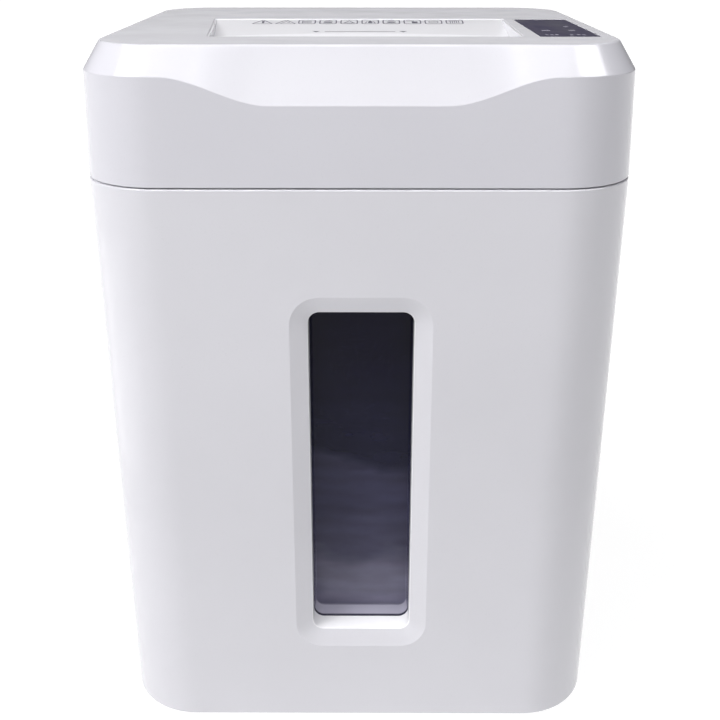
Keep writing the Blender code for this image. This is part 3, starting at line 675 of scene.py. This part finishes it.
def stations():
    """Places round the case: along the front, then round each corner, anticlockwise from above."""
    span = DIP_OUTER - DIP_INNER
    slope = [DIP_INNER + span * i / DIP_STEPS for i in range(DIP_STEPS + 1)]
    inner = [DIP_INNER * i / 4 for i in range(4)]
    right = inner + slope
    made = [("front", -x) for x in reversed(right[1:])] + [("front", x) for x in right]
    for sx, sy, start in ((1, -1, -90), (1, 1, 0), (-1, 1, 90), (-1, -1, 180)):
        for i in range(CORNER_STEPS + 1):
            made.append(("corner", sx, sy, math.radians(start + 90 * i / CORNER_STEPS)))
    return made


def case_point(station, half, inset, z):
    half_x, half_y = half
    if station[0] == "front":
        return (station[1], -(half_y - inset), z)
    _, sx, sy, angle = station
    radius = max(CORNER - inset, 0.004)
    x = sx * (half_x - inset - radius) + radius * math.cos(angle)
    y = sy * (half_y - inset - radius) + radius * math.sin(angle)
    return (x, y, z)


def window_frame(across, up, inward):
    """A point of the window: across and up the sloping front wall, and inward at a right angle to it."""
    return (across, -bin_half(up)[1] + inward, up + inward * math.tan(FRONT_DRAFT))


WINDOW = rectangle(WINDOW_X - WINDOW_WIDTH / 2, WINDOW_LOW, WINDOW_X + WINDOW_WIDTH / 2, WINDOW_HIGH)


# ---- Bin ----


def make_bin():
    low = FOOT_HEIGHT
    profile = [
        (WALL + BASE_EDGE / 2, low + FLOOR),
        (WALL, low + FLOOR + 0.006),
        (WALL, SEAM - 1.7 * RIM_DEPTH),
        (RIM_WIDTH, SEAM - RIM_DEPTH),
        (RIM_WIDTH, SEAM),
        (0.0, SEAM),
        (0.0, low),
        (0.010, low),
    ]
    radii = (0, 0.003, 0.004, 0.004, 0.0006, 0.0014, 0.0018, 0)
    outline = filleted(profile, radii, 5)
    rings = [[case_point(s, bin_half(z), inset, z) for s in stations()] for inset, z in outline]
    shell = loft("bin_body", rings, bin_white)
    well = [(WELL_WALL, WALL / 2), (WELL_WALL, WELL_DEPTH)]
    union(shell, sweep("well", WINDOW, WINDOW_CORNER, well, window_frame, bin_white, 10))
    over = 0.0004
    slope = BEVEL / BEVEL_DEPTH
    line = [
        (BEVEL + slope * over, -over),
        (0.0, BEVEL_DEPTH),
        (0.0, WELL_DEPTH + 0.002),
    ]
    levels = filleted(line, (0, 0.0010, 0), 6)
    cut(shell, sweep("hole", WINDOW, WINDOW_CORNER, levels, window_frame, bin_white, 10))
    crease_bevel(polish(shell))
    paint_recess_light(shell)
    return mount(shell, "bin", "white_plastic", "bin_shell")


def crease_bevel(shell):
    """Keeps the crisp line where the window's shallow bevel leaves the front wall."""
    mesh = shell.data
    near = []
    for vertex in mesh.vertices:
        x, y, z = vertex.co
        beside = abs(x - WINDOW_X) < WINDOW_WIDTH / 2 + BEVEL + 0.001 and z > WINDOW_LOW - BEVEL - 0.001
        near.append(beside and z < WINDOW_HIGH + BEVEL + 0.001 and abs(y + bin_half(z)[1]) < 0.0001)
    for edge in mesh.edges:
        if near[edge.vertices[0]] and near[edge.vertices[1]]:
            edge.use_edge_sharp = True


def paint_recess_light(shell):
    """Gives the walls of the window's recess a lighter copy of the bin's white: painted light where they
    catch the light from above.
    """
    shell.data.materials.append(recess_lit_white)
    for face in shell.data.polygons:
        x, y, z = face.center
        inside = abs(x - WINDOW_X) < WINDOW_WIDTH / 2 + 0.0006
        inside = inside and WINDOW_LOW - 0.0006 < z < WINDOW_HIGH + 0.0006
        if inside and BEVEL_DEPTH * 0.9 < y + bin_half(z)[1] < WELL_DEPTH + 0.001:
            face.material_index = 1


def make_pane():
    """The smoked pane: a flange behind the well, shallow walls, and a face set back from them."""
    back = WELL_DEPTH + FIT
    dish = back + PANE_DISH
    outer = [
        (-0.006, dish + PANE),
        (0.0004, dish + PANE),
        (PANE / 2, back + PANE),
        (PANE_FLANGE, back + PANE),
        (PANE_FLANGE, back),
        (-0.0003, back),
        (-0.0010, dish),
        (-0.006, dish),
    ]
    levels = filleted(outer, (0, 0.0022, 0.0008, 0.0005, 0.0005, 0.0006, 0.0010, 0), 5)
    pane = sweep("pane", WINDOW, WINDOW_CORNER, levels, window_frame, pane_look, 10)
    return mount(polish(pane), "bin", "smoked_window", "window_pane")


def make_feet():
    """Ribbed rubber feet, each with a shallow ring in its sole."""
    top = FOOT_HEIGHT - FIT
    for row, y in (("front", -FOOT_Y), ("rear", FOOT_Y)):
        for side, x in (("left", -FOOT_X), ("right", FOOT_X)):
            profile = [
                (0.0008, 0.0030),
                (0.0008, 0.0045),
                (0.0, 0.0052),
                (0.0, 0.0100),
                (0.0003, 0.0108),
                (0.0011, 0.0116),
                (0.0014, 0.0113),
                (0.0017, 0.0116),
                (0.0020, 0.0113),
                (0.0023, 0.0117),
                (0.0027, 0.0120),
                (top, 0.0120),
            ]
            foot = lathe(f"foot_pad_{row}_{side}", profile, (x, y, 0), rubber, sides=56)
            mount(polish(foot, 50.0), "bin", "rubber", f"foot_{row}_{side}")


# ---- Head cover ----


def head_column(station):
    """The cover's section at one place round the case, from the inner roof to the top."""
    shoulder = shoulder_height(station[1]) if station[0] == "front" else SHOULDER
    lean = math.tan(HEAD_DRAFT)
    low = (SHOULDER - HEAD_LOW) * lean
    bend = (SHOULDER - shoulder) * lean
    profile = [
        (-CHAMFER - WALL, TOP - WALL),
        (bend + lean * 0.001 - WALL, shoulder - 0.001),
        (low - WALL, HEAD_LOW),
        (low, HEAD_LOW),
        (bend, shoulder),
        (-CHAMFER, TOP),
        (-CHAMFER - 0.006, TOP),
    ]
    outline = filleted(profile, (0, 0.001, 0.0005, 0.0007, 0.0022, 0.0020, 0), 5)
    column = []
    for outward, z in outline:
        flare = max(0.0, (SHOULDER - z) * lean)
        half = (WIDTH / 2 + flare, DEPTH / 2 + flare)
        column.append(case_point(station, half, flare - outward, z))
    return column


def on_top(u, v, depth):
    return (u, v, TOP - depth)


def on_back(u, v, depth):
    return (-u, head_half(v)[1] - depth, v)


def on_side(sx):
    return lambda u, v, depth: (sx * (head_half(v)[0] - depth), sx * u, v)


def make_cover():
    columns = [head_column(s) for s in stations()]
    rings = [[column[i] for column in columns] for i in range(len(columns[0]))]
    cover = loft("cover", rings, head_shaded_white)
    for sx in (-1, 1):
        place = on_side(sx)
        block = rectangle(-GRIP_HALF, GRIP_LOW, GRIP_HALF, GRIP_HIGH)
        solid = [(WALL, WALL / 2), (WALL, GRIP_DEEP + WALL)]
        union(cover, sweep("grip_block", block, 0.004, solid, place, head_shaded_white, 8))
        hollow = mouth(0.0014, GRIP_DEEP - 0.003)
        hollow += [(-0.0009, GRIP_DEEP - 0.0009), (-0.003, GRIP_DEEP)]
        cut(cover, sweep("grip", block, 0.004, hollow, place, head_shaded_white, 8))
        for sy in (-1, 1):
            add_post(cover, sx, sy)
    cut(cover, sweep("feed", FEED, 0.0025, mouth(0.0009, 0.02), on_top, head_shaded_white, 6))
    low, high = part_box("touch_panel")
    pocket = rectangle(low.x - FIT, low.y - FIT, high.x + FIT, high.y + FIT)
    levels = mouth(0.0005, TOP - low.z + FIT)
    cut(cover, sweep("pocket", pocket, 0.0016, levels, on_top, head_shaded_white, 6))
    for i in range(VENT_COUNT):
        x = (i - (VENT_COUNT - 1) / 2) * VENT_PITCH
        slot = rectangle(x - VENT_WIDTH / 2, VENT_LOW, x + VENT_WIDTH / 2, VENT_HIGH)
        rounding = VENT_WIDTH / 2 - 0.0001
        cut(cover, sweep("vent", slot, rounding, mouth(0.0006, 0.008), on_back, head_shaded_white, 7))
    edge = (SWITCH_HALF_X + FIT, SWITCH_HALF_Z + FIT)
    hole = rectangle(-SWITCH_X - edge[0], SWITCH_Z - edge[1], -SWITCH_X + edge[0], SWITCH_Z + edge[1])
    cut(cover, sweep("switch_hole", hole, 0.0012, mouth(0.0003, 0.008), on_back, head_shaded_white, 5))
    radius = GLAND_RADIUS + FIT
    hole = rectangle(-GLAND_X - radius, GLAND_Z - radius, -GLAND_X + radius, GLAND_Z + radius)
    cut(cover, sweep("gland_hole", hole, radius * 0.999, mouth(0.0003, 0.008), on_back, head_shaded_white, 12))
    return mount(polish(cover), "head", "white_plastic", "head_cover")


def add_post(cover, sx, sy):
    """A block on the side wall with a blind hole for a base screw."""
    outer = head_half(BASE_TOP)[0] - WALL / 2
    xs = sorted((sx * (POST_X - POST_HALF), sx * outer))
    ys = sorted((sy * (POST_Y - POST_HALF), sy * (POST_Y + POST_HALF)))
    levels = [(0.0, BASE_TOP + FIT), (0.0, POST_HIGH)]
    outline = rectangle(xs[0], ys[0], xs[1], ys[1])
    union(cover, sweep("post", outline, 0.0012, levels, upright, head_shaded_white, 4))
    profile = [(BASE_TOP, POST_BORE), (POST_HIGH - 0.004, POST_BORE)]
    cut(cover, lathe("post_hole", profile, (sx * POST_X, sy * POST_Y, 0), head_shaded_white, sides=20))


# ---- Feed throat ----


def bend_place(x):
    """Where the ramp turns down toward the slot: farthest back in the middle."""
    return RAMP_BEND_Y + 0.004 - BEND_BOW * (x / 0.11) ** 2


def ramp_height(x, y):
    """Height of the ramp's upper face."""
    back = FEED_BACK - FIT - THROAT_WALL
    slope = (RAMP_HIGH - RAMP_BEND) / (back - RAMP_BEND_Y)
    bend = bend_place(x)
    level = RAMP_HIGH - slope * (back - max(y, bend))
    if y >= bend:
        return level
    return level + (RAMP_LOW - level) * (bend - y) / (bend - SLOT_BACK)


def make_throat():
    """The feed insert: a shell round the opening and the slot, hollowed to the bent ramp."""
    thick = 0.0023
    half = 0.13
    edge = TOP - 0.0004
    front = FEED_FRONT + FIT
    back = FEED_BACK - FIT
    outer = [
        (front, THROAT_LOW + 0.012),
        (NECK_FRONT - thick, THROAT_LOW),
        (NECK_BACK + thick, THROAT_LOW),
        (SLOT_BACK + thick, RAMP_LOW - thick),
        (RAMP_BEND_Y, RAMP_BEND - thick),
        (back, RAMP_HIGH - thick),
        (back, edge),
        (front, edge),
    ]
    rings = [[(x, y, z) for y, z in outer] for x in (-half, half)]
    throat = loft("throat", rings, feed_white)
    wide = [(0.0, THROAT_LOW - 0.01), (0.0, TOP + 0.01)]
    corners = shrunk(FIT)
    combine(throat, sweep("sides", corners, 0.0022, wide, upright, feed_white, 6), "INTERSECT")
    rings = []
    count = 52
    for i in range(count + 1):
        x = -half + 2 * half * i / count
        bend = bend_place(x)
        line = [
            (NECK_FRONT, THROAT_LOW - 0.001),
            (NECK_BACK, THROAT_LOW - 0.001),
            (SLOT_BACK, RAMP_LOW),
            (bend, ramp_height(x, bend)),
            (back - THROAT_WALL, RAMP_HIGH),
            (back - THROAT_WALL, TOP + 0.005),
            (SLOT_FRONT, TOP + 0.005),
            (SLOT_FRONT, RAMP_LOW),
        ]
        shape = filleted(line, (0, 0, 0.004, 0.020, 0.0008, 0, 0, 0.003), 6)
        rings.append([(x, y, z) for y, z in shape])
    hollow = loft("hollow", rings, feed_white)
    inner = shrunk(FIT + THROAT_WALL)
    combine(hollow, sweep("sides", inner, 0.0014, wide, upright, feed_white, 6), "INTERSECT")
    cut(throat, hollow)
    settle(throat.data)
    bevel = throat.modifiers.new("bevel", "BEVEL")
    bevel.width = 0.0005
    bevel.segments = 3
    bevel.limit_method = "ANGLE"
    bevel.angle_limit = math.radians(38.0)
    return mount(polish(throat), "head", "feed_plastic", "feed_throat")


def shrunk(inset):
    """The feed opening's corners, moved inward by inset."""
    made = []
    for i, corner in enumerate(FEED):
        here = Vector(corner)
        into = (here - Vector(FEED[i - 1])).normalized()
        away = (Vector(FEED[(i + 1) % 4]) - here).normalized()
        first = Vector((-into.y, into.x))
        last = Vector((-away.y, away.x))
        half = first.angle(last) / 2
        made.append(tuple(here + (first + last).normalized() * (inset / math.cos(half))))
    return tuple(made)


# ---- Printed marks ----


class Marks:
    """Flat printed shapes, laid on a surface by place(u, v, lift) and gathered into one mesh."""

    def __init__(self, place, lifts=(-0.00006, 0.00006)):
        self.place = place
        self.lifts = lifts
        self.points = []
        self.faces = []

    def lay(self, *outlines):
        """The outlines at both lifts, and the place of the first point."""
        start = len(self.points)
        for lift in self.lifts:
            for outline in outlines:
                self.points += [self.place(u, v, lift) for u, v in outline]
        return start

    def band(self, outer, inner):
        """A closed line between two outlines of equal count."""
        start = self.lay(outer, inner)
        count = len(outer)
        low_out, low_in, high_out, high_in = (start + count * k for k in range(4))
        for i in range(count):
            j = (i + 1) % count
            for a, b in ((low_out, high_out), (high_out, high_in), (high_in, low_in), (low_in, low_out)):
                self.faces.append((a + i, a + j, b + j, b + i))

    def patch(self, outline):
        start = self.lay(outline)
        count = len(outline)
        self.faces.append(tuple(start + i for i in reversed(range(count))))
        self.faces.append(tuple(start + count + i for i in range(count)))
        for i in range(count):
            j = (i + 1) % count
            self.faces.append((start + i, start + j, start + count + j, start + count + i))

    def stroke(self, a, b, width):
        a = Vector(a)
        b = Vector(b)
        ahead = (b - a).normalized() * width / 2
        side = Vector((-ahead.y, ahead.x))
        corners = (a - ahead - side, b + ahead - side, b + ahead + side, a - ahead + side)
        self.patch([tuple(p) for p in corners])

    def frame(self, corners, radius, width, steps=4):
        inner = rounded_outline(corners, radius, -width, steps)
        self.band(rounded_outline(corners, radius, 0.0, steps), inner)

    def build(self, name, look):
        return mesh_object(name, self.points, self.faces, look)


# Signs of the feed marks, in millimetres from the mark's middle: a stroke is its width and two ends, and a
# patch is None and its corners.
SIGNS = {
    "sheet": (
        (1.1, (-3.2, -3), (3.2, -3)),
        (1.1, (-3.2, 0), (3.2, 0)),
        (1.1, (-3.2, 3), (3.2, 3)),
        (0.7, (-3.6, -4.4), (-3.6, 4.4)),
    ),
    "stack": (
        (None, (-4, -4), (4, -4), (2.6, -1), (-2.6, -1)),
        (1.2, (-3, 1.5), (3, 1.5)),
        (1.0, (-2, 4.2), (2, 4.2)),
    ),
    "drop": (
        (None, (-1.5, -4), (1.5, -4), (1.9, 0), (0, 5), (-1.9, 0)),
        (0.9, (-4, -4), (-2.6, 1)),
        (0.9, (4, -4), (2.6, 1)),
    ),
    "arch": ((1.2, (-4, -3.6), (4, -3.6)), (1.0, (-3.6, -3), (0, 4)), (1.0, (3.6, -3), (0, 4))),
    "card": ((0.9, (-4.4, 3.4), (1, 3.4)), (None, (-0.5, -4.4), (4.2, -4.4), (4.2, 1.6), (-0.5, 1.6))),
    "clip": ((0.8, (-2, 0), (2.4, 0)),),
    "grid": (
        *((0.7, (1.7 * k, -4), (1.7 * k, 3.4)) for k in range(-2, 3)),
        (0.9, (-4, 4), (4, 4)),
    ),
}
MM = 0.001


def pictogram(marks, kind, x, y):
    """One generic sign inside a feed mark: sheets, a staple, a card, a clip and the like."""
    if kind == "clip":
        outline = rectangle(x - 4 * MM, y - 3.4 * MM, x + 4 * MM, y + 3.4 * MM)
        marks.frame(outline, 2.4 * MM, 0.7 * MM)
    for width, *points in SIGNS[kind]:
        placed = [(x + u * MM, y + v * MM) for u, v in points]
        if width is None:
            marks.patch(placed)
        else:
            marks.stroke(*placed, width * MM)


def on_ramp(x, y, lift):
    return (x, y, ramp_height(x, y) + lift)


def make_ramp_marks():
    """Two warning triangles, a row of rounded boxes with signs, and the guide line with its end stops."""
    marks = Marks(on_ramp)
    row = 0.0250
    for x in (-0.0790, -0.0602):
        outer = ((x - 0.0090, row - 0.0072), (x + 0.0090, row - 0.0072), (x, row + 0.0076))
        marks.frame(outer, 0.0008, 0.0009)
    stem = ((-0.0795, -0.0045), (-0.0778, -0.0045), (-0.0775, 0.003), (-0.0798, 0.003))
    marks.patch([(x, row + y) for x, y in stem])
    marks.stroke((-0.0640, row - 0.0050), (-0.0600, row + 0.0012), 0.0008)
    marks.stroke((-0.0600, row + 0.0012), (-0.0570, row - 0.0030), 0.0008)
    kinds = ("sheet", "stack", "arch", "drop", "stack", "card", "clip", "grid")
    for i, kind in enumerate(kinds):
        x = -0.0430 + 0.01713 * i
        box = rectangle(x - 0.0072, row - 0.0072, x + 0.0072, row + 0.0072)
        marks.frame(box, 0.0026, 0.0011)
        pictogram(marks, kind, x, row)
    line = -0.0092
    for x in (-0.0342, 0.0341):
        marks.patch([(x - 0.0030, line + 0.0016), (x, line - 0.0022), (x + 0.0030, line + 0.0016)])
    for i in range(7):
        x = -0.0270 + 0.0079 * i
        marks.stroke((x, line), (x + 0.0070, line), 0.0009)
    return mount(marks.build("ramp_marks", ink), "head", "feed_plastic")


def make_panel():
    """The touch panel, with rounded corners and an eased edge, and faint marks on its face."""
    low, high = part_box("touch_panel")
    corners = rectangle(low.x, low.y, high.x, high.y)
    face = high.z - 0.0001
    levels = raised(0.00035, low.z, face)
    panel = sweep("panel", corners, 0.0014, levels, upright, glass_look, 8)
    mount(polish(panel), "head", "dark_glass", "touch_panel")
    marks = Marks(lambda x, y, lift: (x, y, face + lift))
    for x, y, half in ((0.1564, -0.0348, 0.0016), (0.1360, -0.0651, 0.0029), (0.1550, -0.0650, 0.0022)):
        marks.frame(rectangle(x - half, y - 0.0036, x + half, y + 0.0036), 0.0012, 0.0006)
        marks.stroke((x - half * 0.4, y), (x + half * 0.4, y), 0.0018)
    for x in (0.1320, 0.1352, 0.1388, 0.1491, 0.1540, 0.1578):
        marks.patch(rectangle(x - 0.0011, -0.0980, x + 0.0011, -0.0942))
    return mount(marks.build("panel_marks", pale_ink), "head", "dark_glass")


# ---- Back fittings ----


def make_gland():
    """A ribbed strain relief with a rounded collar, flush with the back wall."""
    back = head_half(GLAND_Z)[1] - 0.001
    valley = GLAND_RADIUS - 0.0022
    rib = GLAND_RADIUS - 0.0015
    collar = GLAND_RADIUS - 0.0002
    line = [
        (-0.0120, GLAND_BORE),
        (-0.0120, valley),
        (-0.0105, rib),
        (-0.0095, valley),
        (-0.0080, rib),
        (-0.0070, valley),
        (-0.0045, rib),
        (-0.0045, collar),
        (0.0, collar),
        (0.0, GLAND_RADIUS - 0.0026),
        (-0.0006, GLAND_RADIUS - 0.0030),
        (-0.0006, GLAND_BORE),
    ]
    radii = (0, 0, 0, 0, 0, 0, 0, 0, 0.0005, 0.0003, 0.0002, 0.0004)
    profile = filleted(line, radii, 4)
    gland = lathe("gland", profile, (GLAND_X, back, GLAND_Z), black_fine, axis="Y", sides=64, closed=True)
    return mount(polish(gland), "head", "black_plastic", "cord_gland")


def make_switch():
    low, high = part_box("power_switch_body")
    middle = ((low.x + high.x) / 2, (low.z + high.z) / 2)
    half = ((high.x - low.x) / 2, (high.z - low.z) / 2)

    def place(u, v, depth):
        return (middle[0] - u, high.y - depth, middle[1] + v)

    corners = rectangle(-half[0], -half[1], half[0], half[1])
    levels = [(0.0, high.y - low.y), (0.0, 0.0006), (-0.0002, 0.0002), (-0.0006, 0.0)]
    body = sweep("switch_bezel", corners, 0.0009, levels, place, black_fine, 5)
    pocket = rectangle(-0.0105, -0.0072, 0.0105, 0.0072)
    cut(body, sweep("pocket", pocket, 0.0006, mouth(0.0006, 0.0125), place, black_fine, 5))
    mount(polish(body), "head", "black_plastic", "power_switch_body")
    make_rocker(high.y)


def make_rocker(face_y):
    """The rocker, its two faces lightly dished, with a bar and a ring printed on them."""
    pivot = (SWITCH_X, face_y - 0.0055, SWITCH_Z)
    face = 0.003
    tall = 0.0056
    dish = 0.00025
    rise = face + tall * math.tan(math.radians(16.0))
    line = [(face, -tall)]
    steps = 6
    for k in range(1, steps):
        line.append((face - dish * math.sin(math.pi * k / steps), -tall + tall * k / steps))
    line.append((face, 0.0))
    for k in range(1, steps):
        t = k / steps
        line.append((face + (rise - face) * t - dish * math.sin(math.pi * t), (tall - 0.0002) * t))
    line += [(rise, tall - 0.0002), (-0.001, 0.0050), (-0.003, 0.0), (-0.001, -0.0050)]
    rings = []
    ends = ((0.0100, 0.0004), (0.0097, 0.0001), (0.0094, 0.0))
    for x, shrink in (*((-x, shrink) for x, shrink in ends), *reversed(ends)):
        scale = 1 - shrink / tall
        rings.append([(pivot[0] + x, pivot[1] + y * scale, pivot[2] + z * scale) for y, z in line])
    rocker = loft("rocker_key", rings, rocker_black)
    mount(polish(rocker, 40.0), "rocker", "rocker_plastic", "power_rocker")

    def place(u, v, lift):
        """A point on the rocker's lower face when v is below 0, and on its upper face when above."""
        slope = 0.0 if v < 0 else (rise - face) / tall * v
        sunk = dish * math.sin(math.pi * min(abs(v) / tall, 1.0))
        return (pivot[0] + u, pivot[1] + face + slope - sunk + lift, pivot[2] + v)

    marks = Marks(place, (-0.00005, 0.00008))
    outer, inner = ([(r * a, -0.0030 + r * b) for a, b in circle(28)] for r in (0.0015, 0.0011))
    marks.band(outer, inner)
    bar = rectangle(-0.00025, 0.0016, 0.00025, 0.0044)
    marks.frame(bar, 0.0002, 0.00019, 3)
    mount(marks.build("rocker_marks", mark_ink), "rocker", "rocker_plastic")


# ---- Cutting rollers ----


# One tooth of a cutting disc: (share of the tooth's pitch, radius), rising slowly and dropping back sharply.
TOOTH = ((0.0, 0.0158), (0.25, 0.0163), (0.5, 0.0168), (0.75, 0.0173), (0.93, 0.0178), (0.985, 0.0158))


def disc_outline(turn):
    made = []
    step = 2 * math.pi / DISC_TEETH
    for i in range(DISC_TEETH):
        start = turn + 2 * math.pi * i / DISC_TEETH
        for share, radius in TOOTH:
            angle = start + step * share
            made.append((radius * math.cos(angle), radius * math.sin(angle)))
    return made


def disc_places(row):
    shift = -DISC_PITCH / 4 if row == "front" else DISC_PITCH / 4
    return [(i - (DISC_COUNT - 1) / 2) * DISC_PITCH + shift for i in range(DISC_COUNT)]


def make_cutters(row):
    """One roller's discs, each turned a little from the last, with the spacers between them."""
    y = ROLLER_Y[row]
    points = []
    faces = []
    bore = SHAFT_RADIUS + FIT
    sides = 40

    def scaled(outline, share):
        return [(share * a, share * b) for a, b in outline]

    def add_ring_body(levels):
        """A closed body of revolution or of sweep, from (place along X, outline) pairs of equal count."""
        count = len(levels[0][1])
        starts = []
        for x, outline in levels:
            starts.append(len(points))
            points.extend((x, y + a, AXIS_Z + b) for a, b in outline)
        for k, low in enumerate(starts):
            high = starts[(k + 1) % len(starts)]
            for i in range(count):
                j = (i + 1) % count
                faces.append((low + i, low + j, high + j, high + i))

    hand = 1 if row == "front" else -1
    half = DISC_WIDTH / 2
    places = disc_places(row)
    for i, middle in enumerate(places):
        outline = [(a, hand * b) for a, b in disc_outline(DISC_TWIST * i)]
        hole = [(bore * a / math.hypot(a, b), bore * b / math.hypot(a, b)) for a, b in outline]
        inner = scaled(outline, 0.985)
        add_ring_body([
            (middle - half, hole),
            (middle - half, inner),
            (middle - half + 0.0002, outline),
            (middle + half - 0.0002, outline),
            (middle + half, inner),
            (middle + half, hole),
        ])
    edges = [-PACK_HALF]
    for middle in places:
        edges += [middle - half - 0.00002, middle + half + 0.00002]
    edges.append(PACK_HALF)
    for left, right in zip(edges[::2], edges[1::2]):
        if right - left < 0.0004:
            continue
        add_ring_body([
            (left, scaled(circle(sides), bore)),
            (left, scaled(circle(sides), SPACER_RADIUS - 0.0004)),
            (left + 0.0003, scaled(circle(sides), SPACER_RADIUS)),
            (right - 0.0003, scaled(circle(sides), SPACER_RADIUS)),
            (right, scaled(circle(sides), SPACER_RADIUS - 0.0004)),
            (right, scaled(circle(sides), bore)),
        ])
    made = mesh_object(f"{row}_disc_pack", points, faces, cutter_steel)
    return mount(polish(made, 28.0), f"{row}_roller", "cutter_steel", f"{row}_cutters")


# ---- Carried-over nodes ----

ENDS = ("left", "right")
ROWS = ("front", "rear")
CORNERS = [f"{row}_{side}" for row in ROWS for side in ENDS]
KEPT = (
    (grey, ["head_base"]),
    (plate_steel, ["bin_magnet", "front_shaft", "rear_shaft", *(f"side_plate_{side}" for side in ENDS)]),
    (zinc, ["tie_rod_front", "tie_rod_middle", "tie_rod_rear", "front_comb", "rear_comb"]),
    (zinc, ["gear_pin_first", "gear_pin_second", "motor_can", "motor_rotor"]),
    (zinc, [f"base_screw_{corner}" for corner in CORNERS]),
    (bronze, [f"bush_{corner}" for corner in CORNERS]),
    (black, ["gear_cover", "motor_end_cap", "cooling_fan", "reed_switch"]),
    (black, ["paper_sensor_emitter", "paper_sensor_receiver"]),
    (gear_steel, ["front_sync_gear", "rear_sync_gear", "drive_gear", "gear_second", "motor_pinion"]),
    (nylon, ["gear_first"]),
    (board, ["control_board", "power_board"]),
    (sleeve, ["capacitor"]),
)


def dress_nodes():
    for look, names in KEPT:
        for name in names:
            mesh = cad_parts[name].data
            mesh.materials.clear()
            mesh.materials.append(look)


# ---- Stage ----


def area_light(name, at, toward, size, radiance, diffuse=True):
    """A rectangular light of a given radiance, seen only by the surfaces that it lights."""
    data = bpy.data.lights.new(name, "AREA")
    data.shape = "RECTANGLE"
    data.size, data.size_y = size
    data.energy = radiance * size[0] * size[1] * math.pi
    made = bpy.data.objects.new(name, data)
    made.location = at
    made.rotation_euler = (Vector(toward) - Vector(at)).to_track_quat("-Z", "Y").to_euler()
    made.visible_camera = False
    made.visible_diffuse = diffuse
    bpy.context.scene.collection.objects.link(made)


def make_stage():
    """A wide floor, a dim world, lamps that light the object, and shines that only mirror in its gloss."""
    pale = (0.25, 0.25, 0.25)
    half = 14.0
    points = [(-half, -half, 0), (half, -half, 0), (half, half, 0), (-half, half, 0)]
    floor = mesh_object("floor", points, [(0, 1, 2, 3)], lit_floor(pale))
    world = bpy.data.worlds.new("studio")
    world.use_nodes = True
    bpy.context.scene.world = world
    back = world.node_tree.nodes["Background"]
    back.inputs[0].default_value = (0.98, 0.98, 1.0, 1.0)
    back.inputs[1].default_value = 0.08
    aim = (0.0, -0.1, 0.45)
    area_light("front_top", (-0.1, -0.75, 3.0), aim, (2.4, 0.8), 10.9)
    area_light("left_high", (-1.7, -1.1, 2.0), (0.0, -0.1, 0.4), (1.2, 1.2), 8.2)
    area_light("left_strip", (-0.56, -0.12, 0.13), (-0.10, -0.12, 0.22), (0.5, 0.26), 0.5)
    area_light("back_low", (0.0, 3.0, 0.88), (0.0, 0.0, 0.53), (3.5, 0.5), 0.36)
    area_light("shine_low", (-0.1, -2.4, 1.55), (0.0, 0.0, 0.5), (1.9, 0.5), 3.7, diffuse=False)
    area_light("shine_middle", (-0.1, -2.2, 2.2), (0.0, -0.1, 0.5), (3.4, 0.7), 2.8, diffuse=False)
    area_light("shine_high", (-0.1, -1.75, 2.6), aim, (2.4, 0.9), 3.0, diffuse=False)
    area_light("shine_right", (2.0, -1.0, 2.6), (0.0, -0.1, 0.5), (1.6, 1.6), 9.5, diffuse=False)


def lit_floor(color):
    """A floor lit mostly from within: least in front of the object, most behind it, beyond the lamps."""
    look = Look("floor_white")
    along = look.axis("Y")
    near = look.spread(along, 0.70, 0.86, -0.55, -0.25)
    far = look.spread(along, 0.0, 0.20, 0.1, 1.1)
    look.join(look.maths("ADD", near, far), look.shader.inputs["Emission Strength"])
    look.shader.inputs["Emission Color"].default_value = (1.0, 1.0, 1.0, 1.0)
    grain = look.noise(40.0, 3.0)
    base = look.blend(look.spread(grain, 0.0, 1.0), tint(color, 0.995), color)
    look.bump((grain, 0.0001))
    return look.finish(base, 0.9, specular=0.0)


def make_camera():
    data = bpy.data.cameras.new("camera")
    data.lens = 51.3765
    data.sensor_width = 36.0
    data.shift_y = -0.1042
    camera = bpy.data.objects.new("camera", data)
    camera.location = (0.00366, -0.83532, 0.60187)
    camera.rotation_euler = (math.radians(70.78), 0.0, math.radians(0.24))
    bpy.context.scene.collection.objects.link(camera)
    bpy.context.scene.camera = camera
    bpy.context.scene.view_settings.view_transform = "Standard"


def main():
    dress_nodes()
    make_bin()
    make_pane()
    make_feet()
    make_cover()
    make_throat()
    make_ramp_marks()
    make_panel()
    make_gland()
    make_switch()
    make_cutters("front")
    make_cutters("rear")
    make_stage()
    make_camera()


main()
